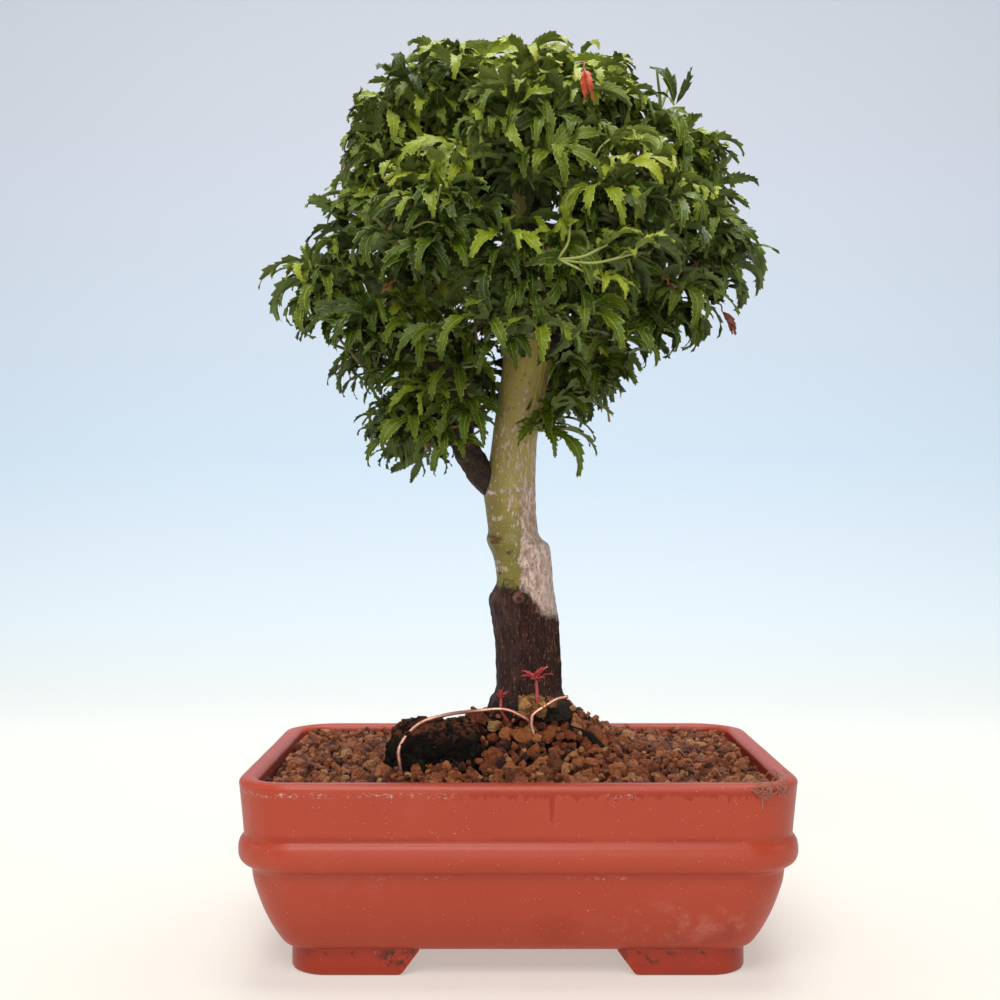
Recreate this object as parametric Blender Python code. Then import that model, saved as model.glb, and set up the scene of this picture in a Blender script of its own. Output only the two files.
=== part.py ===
"""A grafted lion's mane maple bonsai in a rectangular clay pot with four corner feet.

Metres, +Z up. The origin is under the middle of the pot, on the surface that its feet stand on.
The front is at -Y.
"""

import math

import bmesh
import bpy
import numpy as np
from mathutils import Matrix, Quaternion, Vector, noise

# Pot
pot_length = 0.260
pot_depth = 0.190
pot_height = 0.094
plan_corner = 0.028
inner_plan_corner = 0.016
rim_width = 0.0095
rim_round = 0.003
wall = 0.0075
floor_thickness = 0.009
upper_taper = 0.0018
belt_low = 0.052
belt_high = 0.067
belt_proud = 0.0004
belt_crease = 0.0012
lower_wall_inset = 0.005
lower_wall_bulge = 0.0022
bottom_inset = 0.0195
bottom_round = 0.006
foot_height = 0.012
foot_inset = 0.023
foot_width = 0.014
foot_length_x = 0.062
foot_length_y = 0.046
foot_end_slant = 0.009
foot_edge_height = 0.003
foot_edge_inset = 0.002
foot_root = 0.002
corner_steps = 5

# Holes in the pot's floor, and what covers them
drain_hole = 0.021
drain_spacing = 0.124
wire_hole = 0.006
mesh_cells = 7
mesh_thickness = 0.0012
clip_wire = 0.0014
clip_clearance = 0.0014
clip_reach = 0.016

# Soil, mounded round the trunk
soil_recess = 0.007
soil_mound = 0.025
mound_reach = 0.042
soil_grain = 0.0012

# Old root ball, left of the trunk and in front of it
ball_centre = (-0.0405, -0.034)
ball_half_size = (0.0225, 0.0180, 0.0190)
ball_above_soil = 0.0035

# Trunk, from the soil's surface to the leader's tip
trunk_height = 0.316
trunk_width = 0.0335
trunk_flare = 0.0205
trunk_lean = 0.006
trunk_sides = 14

# Young red shoots at the trunk's foot
shoot_leaf_length = 0.009
shoot_leaf_half_width = 0.0020
shoot_leaf_half_thick = 0.0004

# Tie wire over the root ball and in front of the trunk
tie_wire = 0.002
tie_hole_left = (-0.052, -0.020)
tie_hole_right = (0.030, -0.034)

# Crown, whose clear height is measured from the soil's surface at the trunk
crown_width = 0.264
crown_depth = 0.216
crown_height = 0.236
crown_clear_height = 0.119
pad_flatness = 0.80
pad_lumps = 0.13

# Clearances
touch_gap = 0.0003
soil_gap = 0.0004
leaf_gap = 0.0006
wood_gap = 0.0005

# What follows from them
inner_floor = foot_height + floor_thickness
soil_edge = pot_height - soil_recess
ground = soil_edge + soil_mound
crown_bottom = ground + crown_clear_height
mesh_pitch = (drain_hole / 2 - clip_wire / 2 - clip_clearance) / 2


def clear_scene():
    for found in list(bpy.data.objects):
        bpy.data.objects.remove(found, do_unlink=True)


def material(name, colour, roughness, metallic=0.0):
    made = bpy.data.materials.get(name)
    if made is None:
        made = bpy.data.materials.new(name)
        made.use_nodes = True
        shader = made.node_tree.nodes["Principled BSDF"]
        shader.inputs["Base Color"].default_value = (*colour, 1.0)
        shader.inputs["Roughness"].default_value = roughness
        shader.inputs["Metallic"].default_value = metallic
        made.diffuse_color = (*colour, 1.0)
    return made


def add_object(name, bm, finish, smooth=True, sharp_degrees=40):
    """Makes a named object from a bmesh, with its faces turned outwards."""
    bmesh.ops.recalc_face_normals(bm, faces=bm.faces)
    mesh = bpy.data.meshes.new(name)
    bm.to_mesh(mesh)
    bm.free()
    if finish is not None:
        mesh.materials.append(finish)
    if smooth:
        mesh.shade_smooth()
        mesh.set_sharp_from_angle(angle=math.radians(sharp_degrees))
    made = bpy.data.objects.new(name, mesh)
    bpy.context.scene.collection.objects.link(made)
    return made


def add_cutter(name, bm):
    made = add_object(name, bm, None, smooth=False)
    made.hide_render = True
    made.display_type = "WIRE"
    return made


def boolean(target, tool, operation="DIFFERENCE", solver="EXACT"):
    step = target.modifiers.new(f"{operation.lower()} {tool.name}", "BOOLEAN")
    step.object = tool
    step.operation = operation
    step.solver = solver


def skin(bm, rings):
    """Closes a row of rings, each with as many points, into one solid with flat ends."""
    loops = [[bm.verts.new(point) for point in ring] for ring in rings]
    count = len(loops[0])
    for low, high in zip(loops, loops[1:]):
        for i in range(count):
            bm.faces.new((low[i], low[(i + 1) % count], high[(i + 1) % count], high[i]))
    bm.faces.new(list(reversed(loops[0])))
    bm.faces.new(loops[-1])


def rounded_outline(length, depth, corner, height):
    """The points of a rectangle with round corners, at one height."""
    points = []
    for quarter in range(4):
        turn = quarter * math.pi / 2
        side_x = 1 if quarter in (0, 3) else -1
        side_y = 1 if quarter in (0, 1) else -1
        for step in range(corner_steps + 1):
            angle = turn + step / corner_steps * math.pi / 2
            points.append(
                Vector(
                    (
                        side_x * (length / 2 - corner) + corner * math.cos(angle),
                        side_y * (depth / 2 - corner) + corner * math.sin(angle),
                        height,
                    )
                )
            )
    return points


def pot_ring(inset, height, corner):
    """The pot's plan, moved inwards from the rim's outside."""
    return rounded_outline(pot_length - 2 * inset, pot_depth - 2 * inset, corner, height)


def arc(centre_a, centre_b, radius, first_degrees, last_degrees, steps):
    """Points (a, b) on an arc, worked out by angle."""
    found = []
    for step in range(steps + 1):
        angle = math.radians(first_degrees + (last_degrees - first_degrees) * step / steps)
        found.append((centre_a + radius * math.cos(angle), centre_b + radius * math.sin(angle)))
    return found


def smooth_path(stations, steps):
    """A smooth row of (x, y, z, radius) through the stations."""
    ends = [stations[0], *stations, stations[-1]]
    rows = []
    for before, start, end, after in zip(ends, ends[1:], ends[2:], ends[3:]):
        p0, p1, p2, p3 = (np.array(p, float) for p in (before, start, end, after))
        for step in range(steps):
            t = step / steps
            rows.append(
                0.5
                * (
                    2 * p1
                    + (p2 - p0) * t
                    + (2 * p0 - 5 * p1 + 4 * p2 - p3) * t * t
                    + (3 * p1 - p0 - 3 * p2 + p3) * t**3
                )
            )
    rows.append(np.array(stations[-1], float))
    return rows


def tube(stations, sides=10, steps=4, grow=0.0, lumps=0.0):
    """A bent, tapering round bar through stations of (x, y, z, radius)."""
    rows = smooth_path(stations, steps)
    middles = [Vector(row[:3]) for row in rows]
    tangents = []
    for i in range(len(middles)):
        ahead = middles[min(i + 1, len(middles) - 1)]
        behind = middles[max(i - 1, 0)]
        tangents.append((ahead - behind).normalized())
    middles[0] -= tangents[0] * grow
    middles[-1] += tangents[-1] * grow
    across = tangents[0].orthogonal().normalized()
    rings = []
    for i, (middle, tangent, row) in enumerate(zip(middles, tangents, rows)):
        if i:
            across = tangents[i - 1].rotation_difference(tangent) @ across
        ring = []
        for side in range(sides):
            direction = Quaternion(tangent, math.tau * side / sides) @ across
            radius = row[3]
            if lumps:
                radius *= 1 + lumps * noise.noise((middle + direction * radius) * 60)
            ring.append(middle + direction * (radius + grow))
        rings.append(ring)
    bm = bmesh.new()
    skin(bm, rings)
    return bm


def pot_section():
    """(inset, height, corner) down the outside from the rim, and the same up the inside."""
    def corner_at(inset):
        return max(plan_corner - inset * 0.7, 0.010)

    rim_edge = arc(rim_round, pot_height - rim_round, rim_round, 90, 180, 3)
    outside = [(inset, height) for inset, height in rim_edge]
    outside.append((upper_taper, belt_high))
    belt_middle = (belt_low + belt_high) / 2
    belt_half = (belt_high - belt_low) / 2
    for degrees in (50, 25, 0, -25, -50):
        angle = math.radians(degrees)
        reach = math.cos(angle) ** 0.6
        inset = lower_wall_inset - (lower_wall_inset + belt_proud) * reach
        outside.append((inset, belt_middle + belt_half * math.sin(angle) * 1.05))
    outside.append((lower_wall_inset, belt_low - belt_crease))
    round_top = foot_height + bottom_round
    for share in (0.25, 0.5, 0.75, 1.0):
        bulge = lower_wall_bulge * math.sin(math.pi * share)
        inset = lower_wall_inset + (bottom_inset - lower_wall_inset) * share - bulge
        outside.append((inset, belt_low + (round_top - belt_low) * share))
    outside += arc(bottom_inset + bottom_round, round_top, bottom_round, 180, 270, 3)[1:]
    inside = [(rim_width - rim_round, pot_height)]
    inside += arc(rim_width - rim_round, pot_height - rim_round, rim_round, 90, 0, 2)[1:]
    inside.append((lower_wall_inset + wall, belt_low))
    inside.append((bottom_inset + wall * 0.6, inner_floor + bottom_round))
    inside.append((bottom_inset + bottom_round + wall * 0.5, inner_floor))
    down = [(inset, height, corner_at(inset)) for inset, height in reversed(outside)]
    up = [(inset, height, inner_corner(inset)) for inset, height in inside]
    return down, up


def inner_corner(inset):
    return max(inner_plan_corner - (inset - rim_width) * 0.5, 0.006)


def inner_inset(height):
    """How far the pot's inside face is from the rim's outside, at one height."""
    insets, heights, _ = zip(*reversed(pot_section()[1][-4:]))
    return float(np.interp(height, heights, insets))


def foot_ring():
    """A low ring under the floor, before the gaps between the feet are cut from it."""
    bm = bmesh.new()
    top = foot_height + foot_root
    corner = plan_corner - 0.010
    length, depth = pot_length - 2 * foot_inset, pot_depth - 2 * foot_inset
    inner = corner - foot_width * 0.5
    outer = []
    for height, inset in ((top, 0.0), (foot_edge_height, 0.0), (0.0, foot_edge_inset)):
        outer.append(
            rounded_outline(length - 2 * inset, depth - 2 * inset, corner - inset, height)
        )
    hole = []
    for height in (0.0, top):
        hole.append(
            rounded_outline(length - 2 * foot_width, depth - 2 * foot_width, inner, height)
        )
    loops = [[bm.verts.new(point) for point in ring] for ring in outer + hole]
    count = len(loops[0])
    for low, high in zip(loops, loops[1:] + loops[:1]):
        for i in range(count):
            bm.faces.new((low[i], low[(i + 1) % count], high[(i + 1) % count], high[i]))
    return add_cutter("foot ring", bm)


def foot_gap(name, half_top, along_y):
    """A wedge that parts two feet, wider at the bottom than at the top."""
    half_low = half_top + foot_end_slant
    reach = max(pot_length, pot_depth)
    outline = [
        (-half_low, -foot_root),
        (half_low, -foot_root),
        (half_top, foot_height),
        (-half_top, foot_height),
    ]
    rings = []
    for end in (-reach / 2, reach / 2):
        if along_y:
            rings.append([Vector((a, end, b)) for a, b in outline])
        else:
            rings.append([Vector((end, a, b)) for a, b in outline])
    bm = bmesh.new()
    skin(bm, rings)
    return add_cutter(name, bm)


def floor_hole(name, place, size):
    bm = bmesh.new()
    bmesh.ops.create_cone(
        bm,
        cap_ends=True,
        segments=20,
        radius1=size / 2,
        radius2=size / 2,
        depth=floor_thickness * 3,
        matrix=Matrix.Translation((*place, foot_height + floor_thickness / 2)),
    )
    return add_cutter(name, bm)


def build_pot():
    down, up = pot_section()
    bm = bmesh.new()
    rings = [pot_ring(inset, height, corner) for inset, height, corner in down]
    rings += [pot_ring(inset, height, corner) for inset, height, corner in up]
    skin(bm, rings)
    pot = add_object("pot", bm, material("brick clay", (0.47, 0.085, 0.045), 0.42))
    ring = foot_ring()
    half_x = pot_length / 2 - foot_inset - foot_length_x
    half_y = pot_depth / 2 - foot_inset - foot_length_y
    boolean(ring, foot_gap("gap front to back", half_x, along_y=True))
    boolean(ring, foot_gap("gap side to side", half_y, along_y=False))
    boolean(pot, ring, "UNION")
    for side in (-1, 1):
        boolean(pot, floor_hole(f"drain {side}", (side * drain_spacing / 2, 0), drain_hole))
    for number, place in enumerate((tie_hole_left, tie_hole_right)):
        boolean(pot, floor_hole(f"wire hole {number}", place, wire_hole))
    return pot


def build_drain_mesh(name, side):
    """A square of plastic mesh, lying on the floor over a drainage hole."""
    width = mesh_cells * mesh_pitch
    bm = bmesh.new()
    bmesh.ops.create_grid(bm, x_segments=mesh_cells, y_segments=mesh_cells, size=width / 2)
    openings = []
    for face in bm.faces:
        middle = face.calc_center_median()
        cell_x = round((middle.x + width / 2) / mesh_pitch - 0.5)
        cell_y = round((middle.y + width / 2) / mesh_pitch - 0.5)
        if cell_x % 2 and cell_y % 2:
            openings.append(face)
    bmesh.ops.delete(bm, geom=openings, context="FACES")
    finish = material("black plastic mesh", (0.02, 0.02, 0.022), 0.5)
    made = add_object(name, bm, finish, smooth=False)
    made.location = (side * drain_spacing / 2, 0, inner_floor + touch_gap)
    thick = made.modifiers.new("thickness", "SOLIDIFY")
    thick.thickness = mesh_thickness
    thick.offset = 1
    return made


def clip_stations(side):
    """Over the mesh, down through two of its openings and the hole, and out under the floor."""
    radius = clip_wire / 2
    leg = mesh_pitch * 2
    top = inner_floor + touch_gap + mesh_thickness + touch_gap + radius
    low = foot_height - touch_gap - radius
    middle = side * drain_spacing / 2
    corner = clip_wire
    outline = [
        (-clip_reach, low),
        (-leg - corner, low),
        (-leg, low + corner),
        (-leg, top - corner),
        (-leg + corner, top),
        (leg - corner, top),
        (leg, top - corner),
        (leg, low + corner),
        (leg + corner, low),
        (clip_reach, low),
    ]
    return [(middle + across, 0, height, radius) for across, height in outline]


def build_clip(name, side):
    finish = material("copper coated wire", (0.50, 0.22, 0.12), 0.35, 1.0)
    return add_object(name, tube(clip_stations(side), sides=8, steps=1), finish)


def mesh_pocket(name, side):
    """The room that a mesh and its clip take from the bottom of the soil."""
    bm = bmesh.new()
    width = mesh_cells * mesh_pitch + 2 * soil_gap
    height = mesh_thickness + 2 * touch_gap + clip_wire + 2 * soil_gap
    bmesh.ops.create_cube(
        bm,
        size=1,
        matrix=Matrix.Translation((side * drain_spacing / 2, 0, inner_floor))
        @ Matrix.Diagonal((width, width, 2 * height, 1)),
    )
    return add_cutter(name, bm)


def trunk_stations():
    """Height, middle across and radius up the trunk, from the tip of the taproot to the leader's."""
    half = trunk_width / 2
    below = [
        (inner_floor + 0.022, 0.0000, half * 0.35),
        (ground - 0.026, 0.0010, half * 0.95),
        (ground - 0.010, 0.0030, half + trunk_flare * 0.80),
        (ground - 0.001, 0.0030, half + trunk_flare * 0.52),
    ]
    # Above the soil: share of the height, middle from the trunk's foot, share of the half width.
    # The rootstock ends in a graft bulge at 0.20, and the lower left branch leaves at 0.38.
    above = [
        (0.025, 0.0014, 1.24),
        (0.047, 0.0008, 1.01),
        (0.119, -0.0004, 0.99),
        (0.179, -0.0026, 1.03),
        (0.201, -0.0026, 0.98),
        (0.218, -0.0015, 0.88),
        (0.266, -0.0034, 0.92),
        (0.283, -0.0050, 0.93),
        (0.307, -0.0080, 0.78),
        (0.380, -0.0097, 0.82),
        (0.419, -0.0079, 0.73),
        (0.478, -0.0062, 0.69),
        (0.519, -0.0036, 0.72),
        (0.595, 0.0000, 0.77),
        (0.690, 0.0020, 0.62),
        (0.801, 0.0000, 0.47),
        (0.927, -0.0030, 0.28),
        (1.000, -0.0050, 0.16),
    ]
    stations = [(height, trunk_lean + across, radius) for height, across, radius in below]
    for share, across, width in above:
        stations.append((ground + share * trunk_height, trunk_lean + across, half * width))
    return stations


def trunk_at(height):
    """The trunk's middle across and its radius at one height."""
    heights, middles, radii = zip(*trunk_stations())
    return float(np.interp(height, heights, middles)), float(np.interp(height, heights, radii))


def trunk_body(grow=0.0):
    rings = []
    for height, middle, radius in trunk_stations():
        ring = []
        for side in range(trunk_sides):
            angle = math.tau * side / trunk_sides
            direction = Vector((math.cos(angle), math.sin(angle), 0))
            ridge = 1 + 0.05 * noise.noise(direction * 1.6 + Vector((0, 0, height * 30)))
            point = direction * (radius * ridge + grow)
            ring.append(point + Vector((middle, 0, height)))
        rings.append(ring)
    rings[0] = [point - Vector((0, 0, grow)) for point in rings[0]]
    rings[-1] = [point + Vector((0, 0, grow)) for point in rings[-1]]
    bm = bmesh.new()
    skin(bm, rings)
    return bm


def root_paths():
    """The main roots: one shows on the right, the others turn down into the soil."""
    level = soil_edge
    middle = trunk_lean
    return {
        "right": [
            (middle, 0.000, level + 0.016, 0.010),
            (middle + 0.022, -0.012, level + 0.015, 0.009),
            (middle + 0.043, -0.022, level + 0.0115, 0.0055),
            (middle + 0.062, -0.026, level + 0.0035, 0.0042),
            (middle + 0.080, -0.024, level - 0.014, 0.0028),
        ],
        "back": [
            (middle, 0.000, level + 0.014, 0.011),
            (middle + 0.006, 0.026, level + 0.004, 0.007),
            (middle + 0.004, 0.050, level - 0.018, 0.004),
        ],
        "left": [
            (middle, 0.000, level + 0.012, 0.011),
            (middle - 0.026, 0.012, level + 0.004, 0.007),
            (middle - 0.055, 0.018, level - 0.016, 0.004),
        ],
        "front": [
            (middle, 0.000, level + 0.012, 0.010),
            (middle - 0.002, -0.022, level + 0.002, 0.006),
            (middle - 0.008, -0.036, level - 0.026, 0.0035),
        ],
    }


def build_trunk():
    trunk = add_object("trunk", trunk_body(), material("maple bark", (0.16, 0.13, 0.075), 0.75))
    for name, path in root_paths().items():
        boolean(trunk, add_cutter(f"root {name}", tube(path, sides=9, lumps=0.15)), "UNION")
    return trunk


def wood_room(clearance, label):
    """Grown copies of the trunk and its roots, which whatever lies round them is cut by."""
    found = [add_cutter(f"trunk room {label}", trunk_body(grow=clearance))]
    for name, path in root_paths().items():
        bm = tube(path, sides=9, grow=clearance, lumps=0.15)
        found.append(add_cutter(f"root room {name} {label}", bm))
    return found


def branch_paths():
    """Each branch from inside the trunk to the middle of its leaves."""

    def start(share, radius):
        height = ground + share * trunk_height
        return (trunk_at(height)[0], 0, height, radius)

    def at(across, depth, height, radius):
        """A place in shares of the crown's half width, half depth and height."""
        return (
            across * crown_width / 2,
            depth * crown_depth / 2,
            crown_bottom + height * crown_height,
            radius,
        )

    fork_x, fork_radius = trunk_at(ground + 0.37 * trunk_height)
    fork = ground + 0.37 * trunk_height
    return {
        "branch_low_left": [
            (fork_x - fork_radius * 0.5, 0, fork, 0.0075),
            (fork_x - fork_radius * 1.7, -0.004, fork + 0.022, 0.0068),
            (fork_x - fork_radius * 2.2, -0.008, fork + 0.053, 0.0062),
            at(-0.42, -0.10, 0.32, 0.0050),
            at(-0.66, -0.12, 0.36, 0.0030),
        ],
        "branch_low_right": [
            start(0.573, 0.0060),
            at(0.22, -0.02, 0.34, 0.0050),
            at(0.42, -0.04, 0.40, 0.0040),
            at(0.66, -0.02, 0.44, 0.0026),
        ],
        "branch_front": [
            start(0.614, 0.0055),
            at(0.05, -0.24, 0.40, 0.0045),
            at(0.03, -0.52, 0.44, 0.0028),
        ],
        "branch_back": [
            start(0.633, 0.0060),
            at(0.00, 0.26, 0.42, 0.0048),
            at(-0.06, 0.56, 0.46, 0.0030),
        ],
        "branch_middle_left": [
            start(0.696, 0.0055),
            at(-0.22, 0.02, 0.55, 0.0045),
            at(-0.44, 0.00, 0.64, 0.0036),
            at(-0.60, -0.04, 0.68, 0.0024),
        ],
        "branch_middle_right": [
            start(0.734, 0.0052),
            at(0.24, 0.03, 0.60, 0.0044),
            at(0.46, 0.02, 0.68, 0.0034),
            at(0.66, 0.00, 0.70, 0.0022),
        ],
        "branch_upper_front": [
            start(0.772, 0.0042),
            at(0.10, -0.22, 0.64, 0.0034),
            at(0.14, -0.46, 0.70, 0.0020),
        ],
        "branch_upper_back": [
            start(0.791, 0.0042),
            at(-0.02, 0.24, 0.66, 0.0034),
            at(-0.05, 0.48, 0.74, 0.0020),
        ],
        "branch_top_left": [
            start(0.873, 0.0036),
            at(-0.14, -0.03, 0.78, 0.0028),
            at(-0.28, -0.05, 0.86, 0.0018),
        ],
        "branch_top_right": [
            start(0.892, 0.0034),
            at(0.16, 0.04, 0.80, 0.0026),
            at(0.34, 0.06, 0.84, 0.0016),
        ],
    }


def build_branches(trunk_room):
    finish = material("branch bark", (0.055, 0.04, 0.02), 0.7)
    for name, path in branch_paths().items():
        branch = add_object(name, tube(path, sides=9, steps=4, lumps=0.12), finish)
        boolean(branch, trunk_room)


def mound_height(x, y):
    """The height of the soil: level at the walls and mounded round the trunk."""
    away = math.hypot(x - trunk_lean, y) / mound_reach
    grain = soil_grain * noise.noise(Vector((x, y, 0)) * 140)
    return soil_edge + soil_mound * math.exp(-away * away) + grain


def soil_body():
    rings = []
    edge_inset = None
    for height in (inner_floor + soil_gap, inner_floor + bottom_round, belt_low, soil_edge):
        inset = inner_inset(height) + soil_gap
        corner = inner_corner(inset)
        rings.append(pot_ring(inset, height, corner))
        edge_inset = inset
    half_depth = pot_depth / 2 - edge_inset
    for share in (0.10, 0.25, 0.42, 0.58, 0.73, 0.87):
        inset = edge_inset + share * half_depth
        corner = min(inner_corner(edge_inset), 0.8 * (1 - share) * half_depth)
        ring = pot_ring(inset, 0, corner)
        rings.append([Vector((p.x, p.y, mound_height(p.x, p.y))) for p in ring])
    bm = bmesh.new()
    skin(bm, rings)
    bm.faces.ensure_lookup_table()
    bmesh.ops.poke(bm, faces=[bm.faces[-1]])
    bmesh.ops.triangulate(bm, faces=bm.faces[:])
    return bm


def ball_body(grow=0.0):
    """A lumpy chunk of old soil, partly sunk in the new grains."""
    bm = bmesh.new()
    bmesh.ops.create_icosphere(bm, subdivisions=3, radius=1)
    middle_z = mound_height(*ball_centre) + ball_above_soil
    for vert in bm.verts:
        direction = vert.co.normalized()
        lump = 1 + 0.22 * noise.noise(direction * 2.3 + Vector((3.1, 0, 0)))
        reach = Vector(half * part for half, part in zip(ball_half_size, direction))
        vert.co = reach * lump + direction * grow + Vector((*ball_centre, middle_z))
    return bm


def wire_stations():
    """One end over the root ball, down beside it, under the floor and up in front of the trunk."""
    radius = tie_wire / 2
    low = foot_height - touch_gap - radius
    bend = 1.5 * tie_wire
    left_x, left_y = tie_hole_left
    right_x, right_y = tie_hole_right
    ball_x, ball_y = ball_centre
    half_x, half_y, half_z = ball_half_size
    ball_z = mound_height(*ball_centre) + ball_above_soil
    over = ball_z + half_z * 0.93 + tie_wire
    middle, flare = trunk_at(ground)
    front = -flare - 3 * tie_wire
    places = [
        (middle - 0.004, front, ground - 0.0040),
        (middle - 0.016, front, ground + 0.0010),
        (middle - 0.031, front - 0.001, ground + 0.0010),
        (ball_x + half_x * 0.25, ball_y - 0.004, over + 0.0005),
        (ball_x - half_x * 0.35, ball_y - half_y * 0.45, over - 0.0035),
        (ball_x - half_x * 0.85, ball_y - half_y * 0.72, ball_z + half_z * 0.30),
        (ball_x - half_x * 0.86, ball_y - half_y * 0.66, ball_z - half_z * 0.30),
        (ball_x - half_x * 0.62, ball_y - half_y * 0.40, ball_z - half_z * 1.25),
        (left_x, left_y, inner_floor + 0.020),
        (left_x, left_y, inner_floor),
        (left_x, left_y, low + bend),
        (left_x + bend * 0.29, left_y, low + bend * 0.29),
        (left_x + bend, left_y, low),
        (left_x + bend * 2, left_y, low),
        (right_x - bend * 2, right_y, low),
        (right_x - bend, right_y, low),
        (right_x - bend * 0.29, right_y, low + bend * 0.29),
        (right_x, right_y, low + bend),
        (right_x, right_y, inner_floor),
        (right_x, right_y, inner_floor + 0.020),
        (middle + 0.008, front - 0.004, soil_edge + 0.004),
        (middle, front - 0.004, ground - 0.0060),
        (middle + 0.001, front - 0.003, ground + 0.0010),
        (middle + 0.007, front, ground + 0.0050),
        (middle + 0.018, front + 0.003, ground + 0.0090),
    ]
    return [(*place, radius) for place in places]


def build_ground(trunk_room, root_room):
    """The soil bed and the old root ball, with room for the roots, the wire and the meshes."""
    grains = material("fired clay grains", (0.17, 0.065, 0.035), 0.9)
    old_soil = material("old soil", (0.018, 0.014, 0.010), 0.9)
    soil = add_object("soil_bed", soil_body(), grains)
    ball = add_object("old_root_ball", ball_body(), old_soil)
    ball_room = add_cutter("root ball room", ball_body(grow=soil_gap))
    wire_room = add_cutter("wire room", tube(wire_stations(), sides=7, steps=2, grow=soil_gap))
    for room in (trunk_room, *root_room):
        boolean(soil, room)
        boolean(ball, room)
    boolean(soil, ball_room)
    boolean(soil, wire_room)
    boolean(ball, wire_room)
    for side in (-1, 1):
        boolean(soil, mesh_pocket(f"mesh room {side}", side))


# Each cushion of leaves: place across, in depth and in height, in shares of the crown from -1 to 1
# and 0 to 1 between the middles of cushions that touch its sides, and its radius.
pads = {
    "leaves_top_left": (-0.42, -0.16, 0.95, 0.045),
    "leaves_top_middle": (0.12, 0.02, 1.00, 0.047),
    "leaves_top_right": (0.74, 0.00, 0.92, 0.042),
    "leaves_upper_right": (0.95, 0.08, 0.72, 0.039),
    "leaves_far_right": (1.00, -0.10, 0.49, 0.038),
    "leaves_low_right": (0.76, -0.22, 0.33, 0.037),
    "leaves_right_of_trunk": (0.37, 0.10, 0.14, 0.030),
    "leaves_upper_left": (-0.74, -0.08, 0.79, 0.043),
    "leaves_left": (-0.88, 0.04, 0.58, 0.041),
    "leaves_far_left": (-1.00, -0.05, 0.39, 0.036),
    "leaves_low_left": (-0.78, -0.14, 0.23, 0.037),
    "leaves_bottom_left": (-0.54, 0.02, 0.01, 0.034),
    "leaves_front_low": (0.08, -0.94, 0.34, 0.038),
    "leaves_front_left": (-0.42, -1.00, 0.52, 0.043),
    "leaves_front_right": (0.55, -0.94, 0.52, 0.043),
    "leaves_front_high": (0.12, -0.96, 0.75, 0.045),
    "leaves_back_high": (-0.10, 0.90, 0.78, 0.045),
    "leaves_back_left": (-0.58, 0.84, 0.52, 0.043),
    "leaves_back_right": (0.60, 0.84, 0.56, 0.045),
    "leaves_back_middle": (0.02, 0.98, 0.42, 0.044),
    "leaves_back_low_left": (-0.38, 0.66, 0.19, 0.037),
    "leaves_back_low_right": (0.38, 0.70, 0.21, 0.037),
}


def pad_places():
    """The middle and the radius of each cushion, so that the outer ones reach the crown's sides."""
    found = {}
    for name, (across, depth, height, radius) in pads.items():
        low = crown_bottom + radius * pad_flatness
        high = crown_bottom + crown_height - radius * pad_flatness
        middle = Vector(
            (
                across * (crown_width / 2 - radius),
                depth * (crown_depth / 2 - radius),
                low + height * (high - low),
            )
        )
        found[name] = (middle, radius)
    return found


def pad_body(name, places):
    """A lumpy cushion, kept on its own side of a flat gap to each neighbour."""
    middle, radius = places[name]
    limits = []
    for other, (place, size) in places.items():
        if other == name:
            continue
        apart = place - middle
        share = apart.length * radius / (radius + size) - leaf_gap / 2
        limits.append((apart.normalized(), share))
    bm = bmesh.new()
    bmesh.ops.create_icosphere(bm, subdivisions=3, radius=1)
    for vert in bm.verts:
        direction = vert.co.normalized()
        lump = noise.noise(direction * 2.6 + middle * 40)
        squash = math.hypot(math.hypot(direction.x, direction.y), direction.z / pad_flatness)
        reach = radius * (1 - pad_lumps * (0.5 + 0.9 * lump)) / squash
        for normal, share in limits:
            facing = direction.dot(normal)
            if facing > 1e-6:
                reach = min(reach, share / facing)
        vert.co = middle + direction * reach
    flat = math.radians(2)
    bmesh.ops.dissolve_limit(bm, angle_limit=flat, verts=bm.verts[:], edges=bm.edges[:])
    bmesh.ops.triangulate(bm, faces=bm.faces[:])
    return bm


def box_of(found):
    corners = [found.matrix_world @ Vector(corner) for corner in found.bound_box]
    return np.min(corners, axis=0), np.max(corners, axis=0)


def boxes_meet(first, second):
    (low_a, high_a), (low_b, high_b) = box_of(first), box_of(second)
    return bool((low_a < high_b).all() and (low_b < high_a).all())


def build_leaves(trunk_room):
    finish = material("maple leaves", (0.045, 0.14, 0.018), 0.5)
    rooms = [trunk_room]
    for name, path in branch_paths().items():
        rooms.append(add_cutter(f"{name} room", tube(path, sides=9, grow=wood_gap, lumps=0.12)))
    places = pad_places()
    for name in pads:
        pad = add_object(name, pad_body(name, places), finish, sharp_degrees=60)
        for room in rooms:
            if boxes_meet(pad, room):
                # A branch may only graze a cushion's flat side. The exact cut loses it there.
                boolean(pad, room, solver="MANIFOLD")


def shoot_paths():
    """Two thin shoots from the foot of the trunk, to the left and up the front."""
    front = -trunk_at(ground)[1]
    return {
        "basal_shoot_left": [
            (trunk_lean - 0.011, front + 0.002, ground + 0.001, 0.0011),
            (trunk_lean - 0.014, front - 0.002, ground + 0.007, 0.0009),
            (trunk_lean - 0.014, front - 0.003, ground + 0.013, 0.0007),
        ],
        "basal_shoot_right": [
            (trunk_lean + 0.005, front + 0.004, ground + 0.003, 0.0012),
            (trunk_lean + 0.004, front - 0.003, ground + 0.012, 0.0010),
            (trunk_lean + 0.006, front - 0.006, ground + 0.022, 0.0008),
        ],
    }


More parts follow.
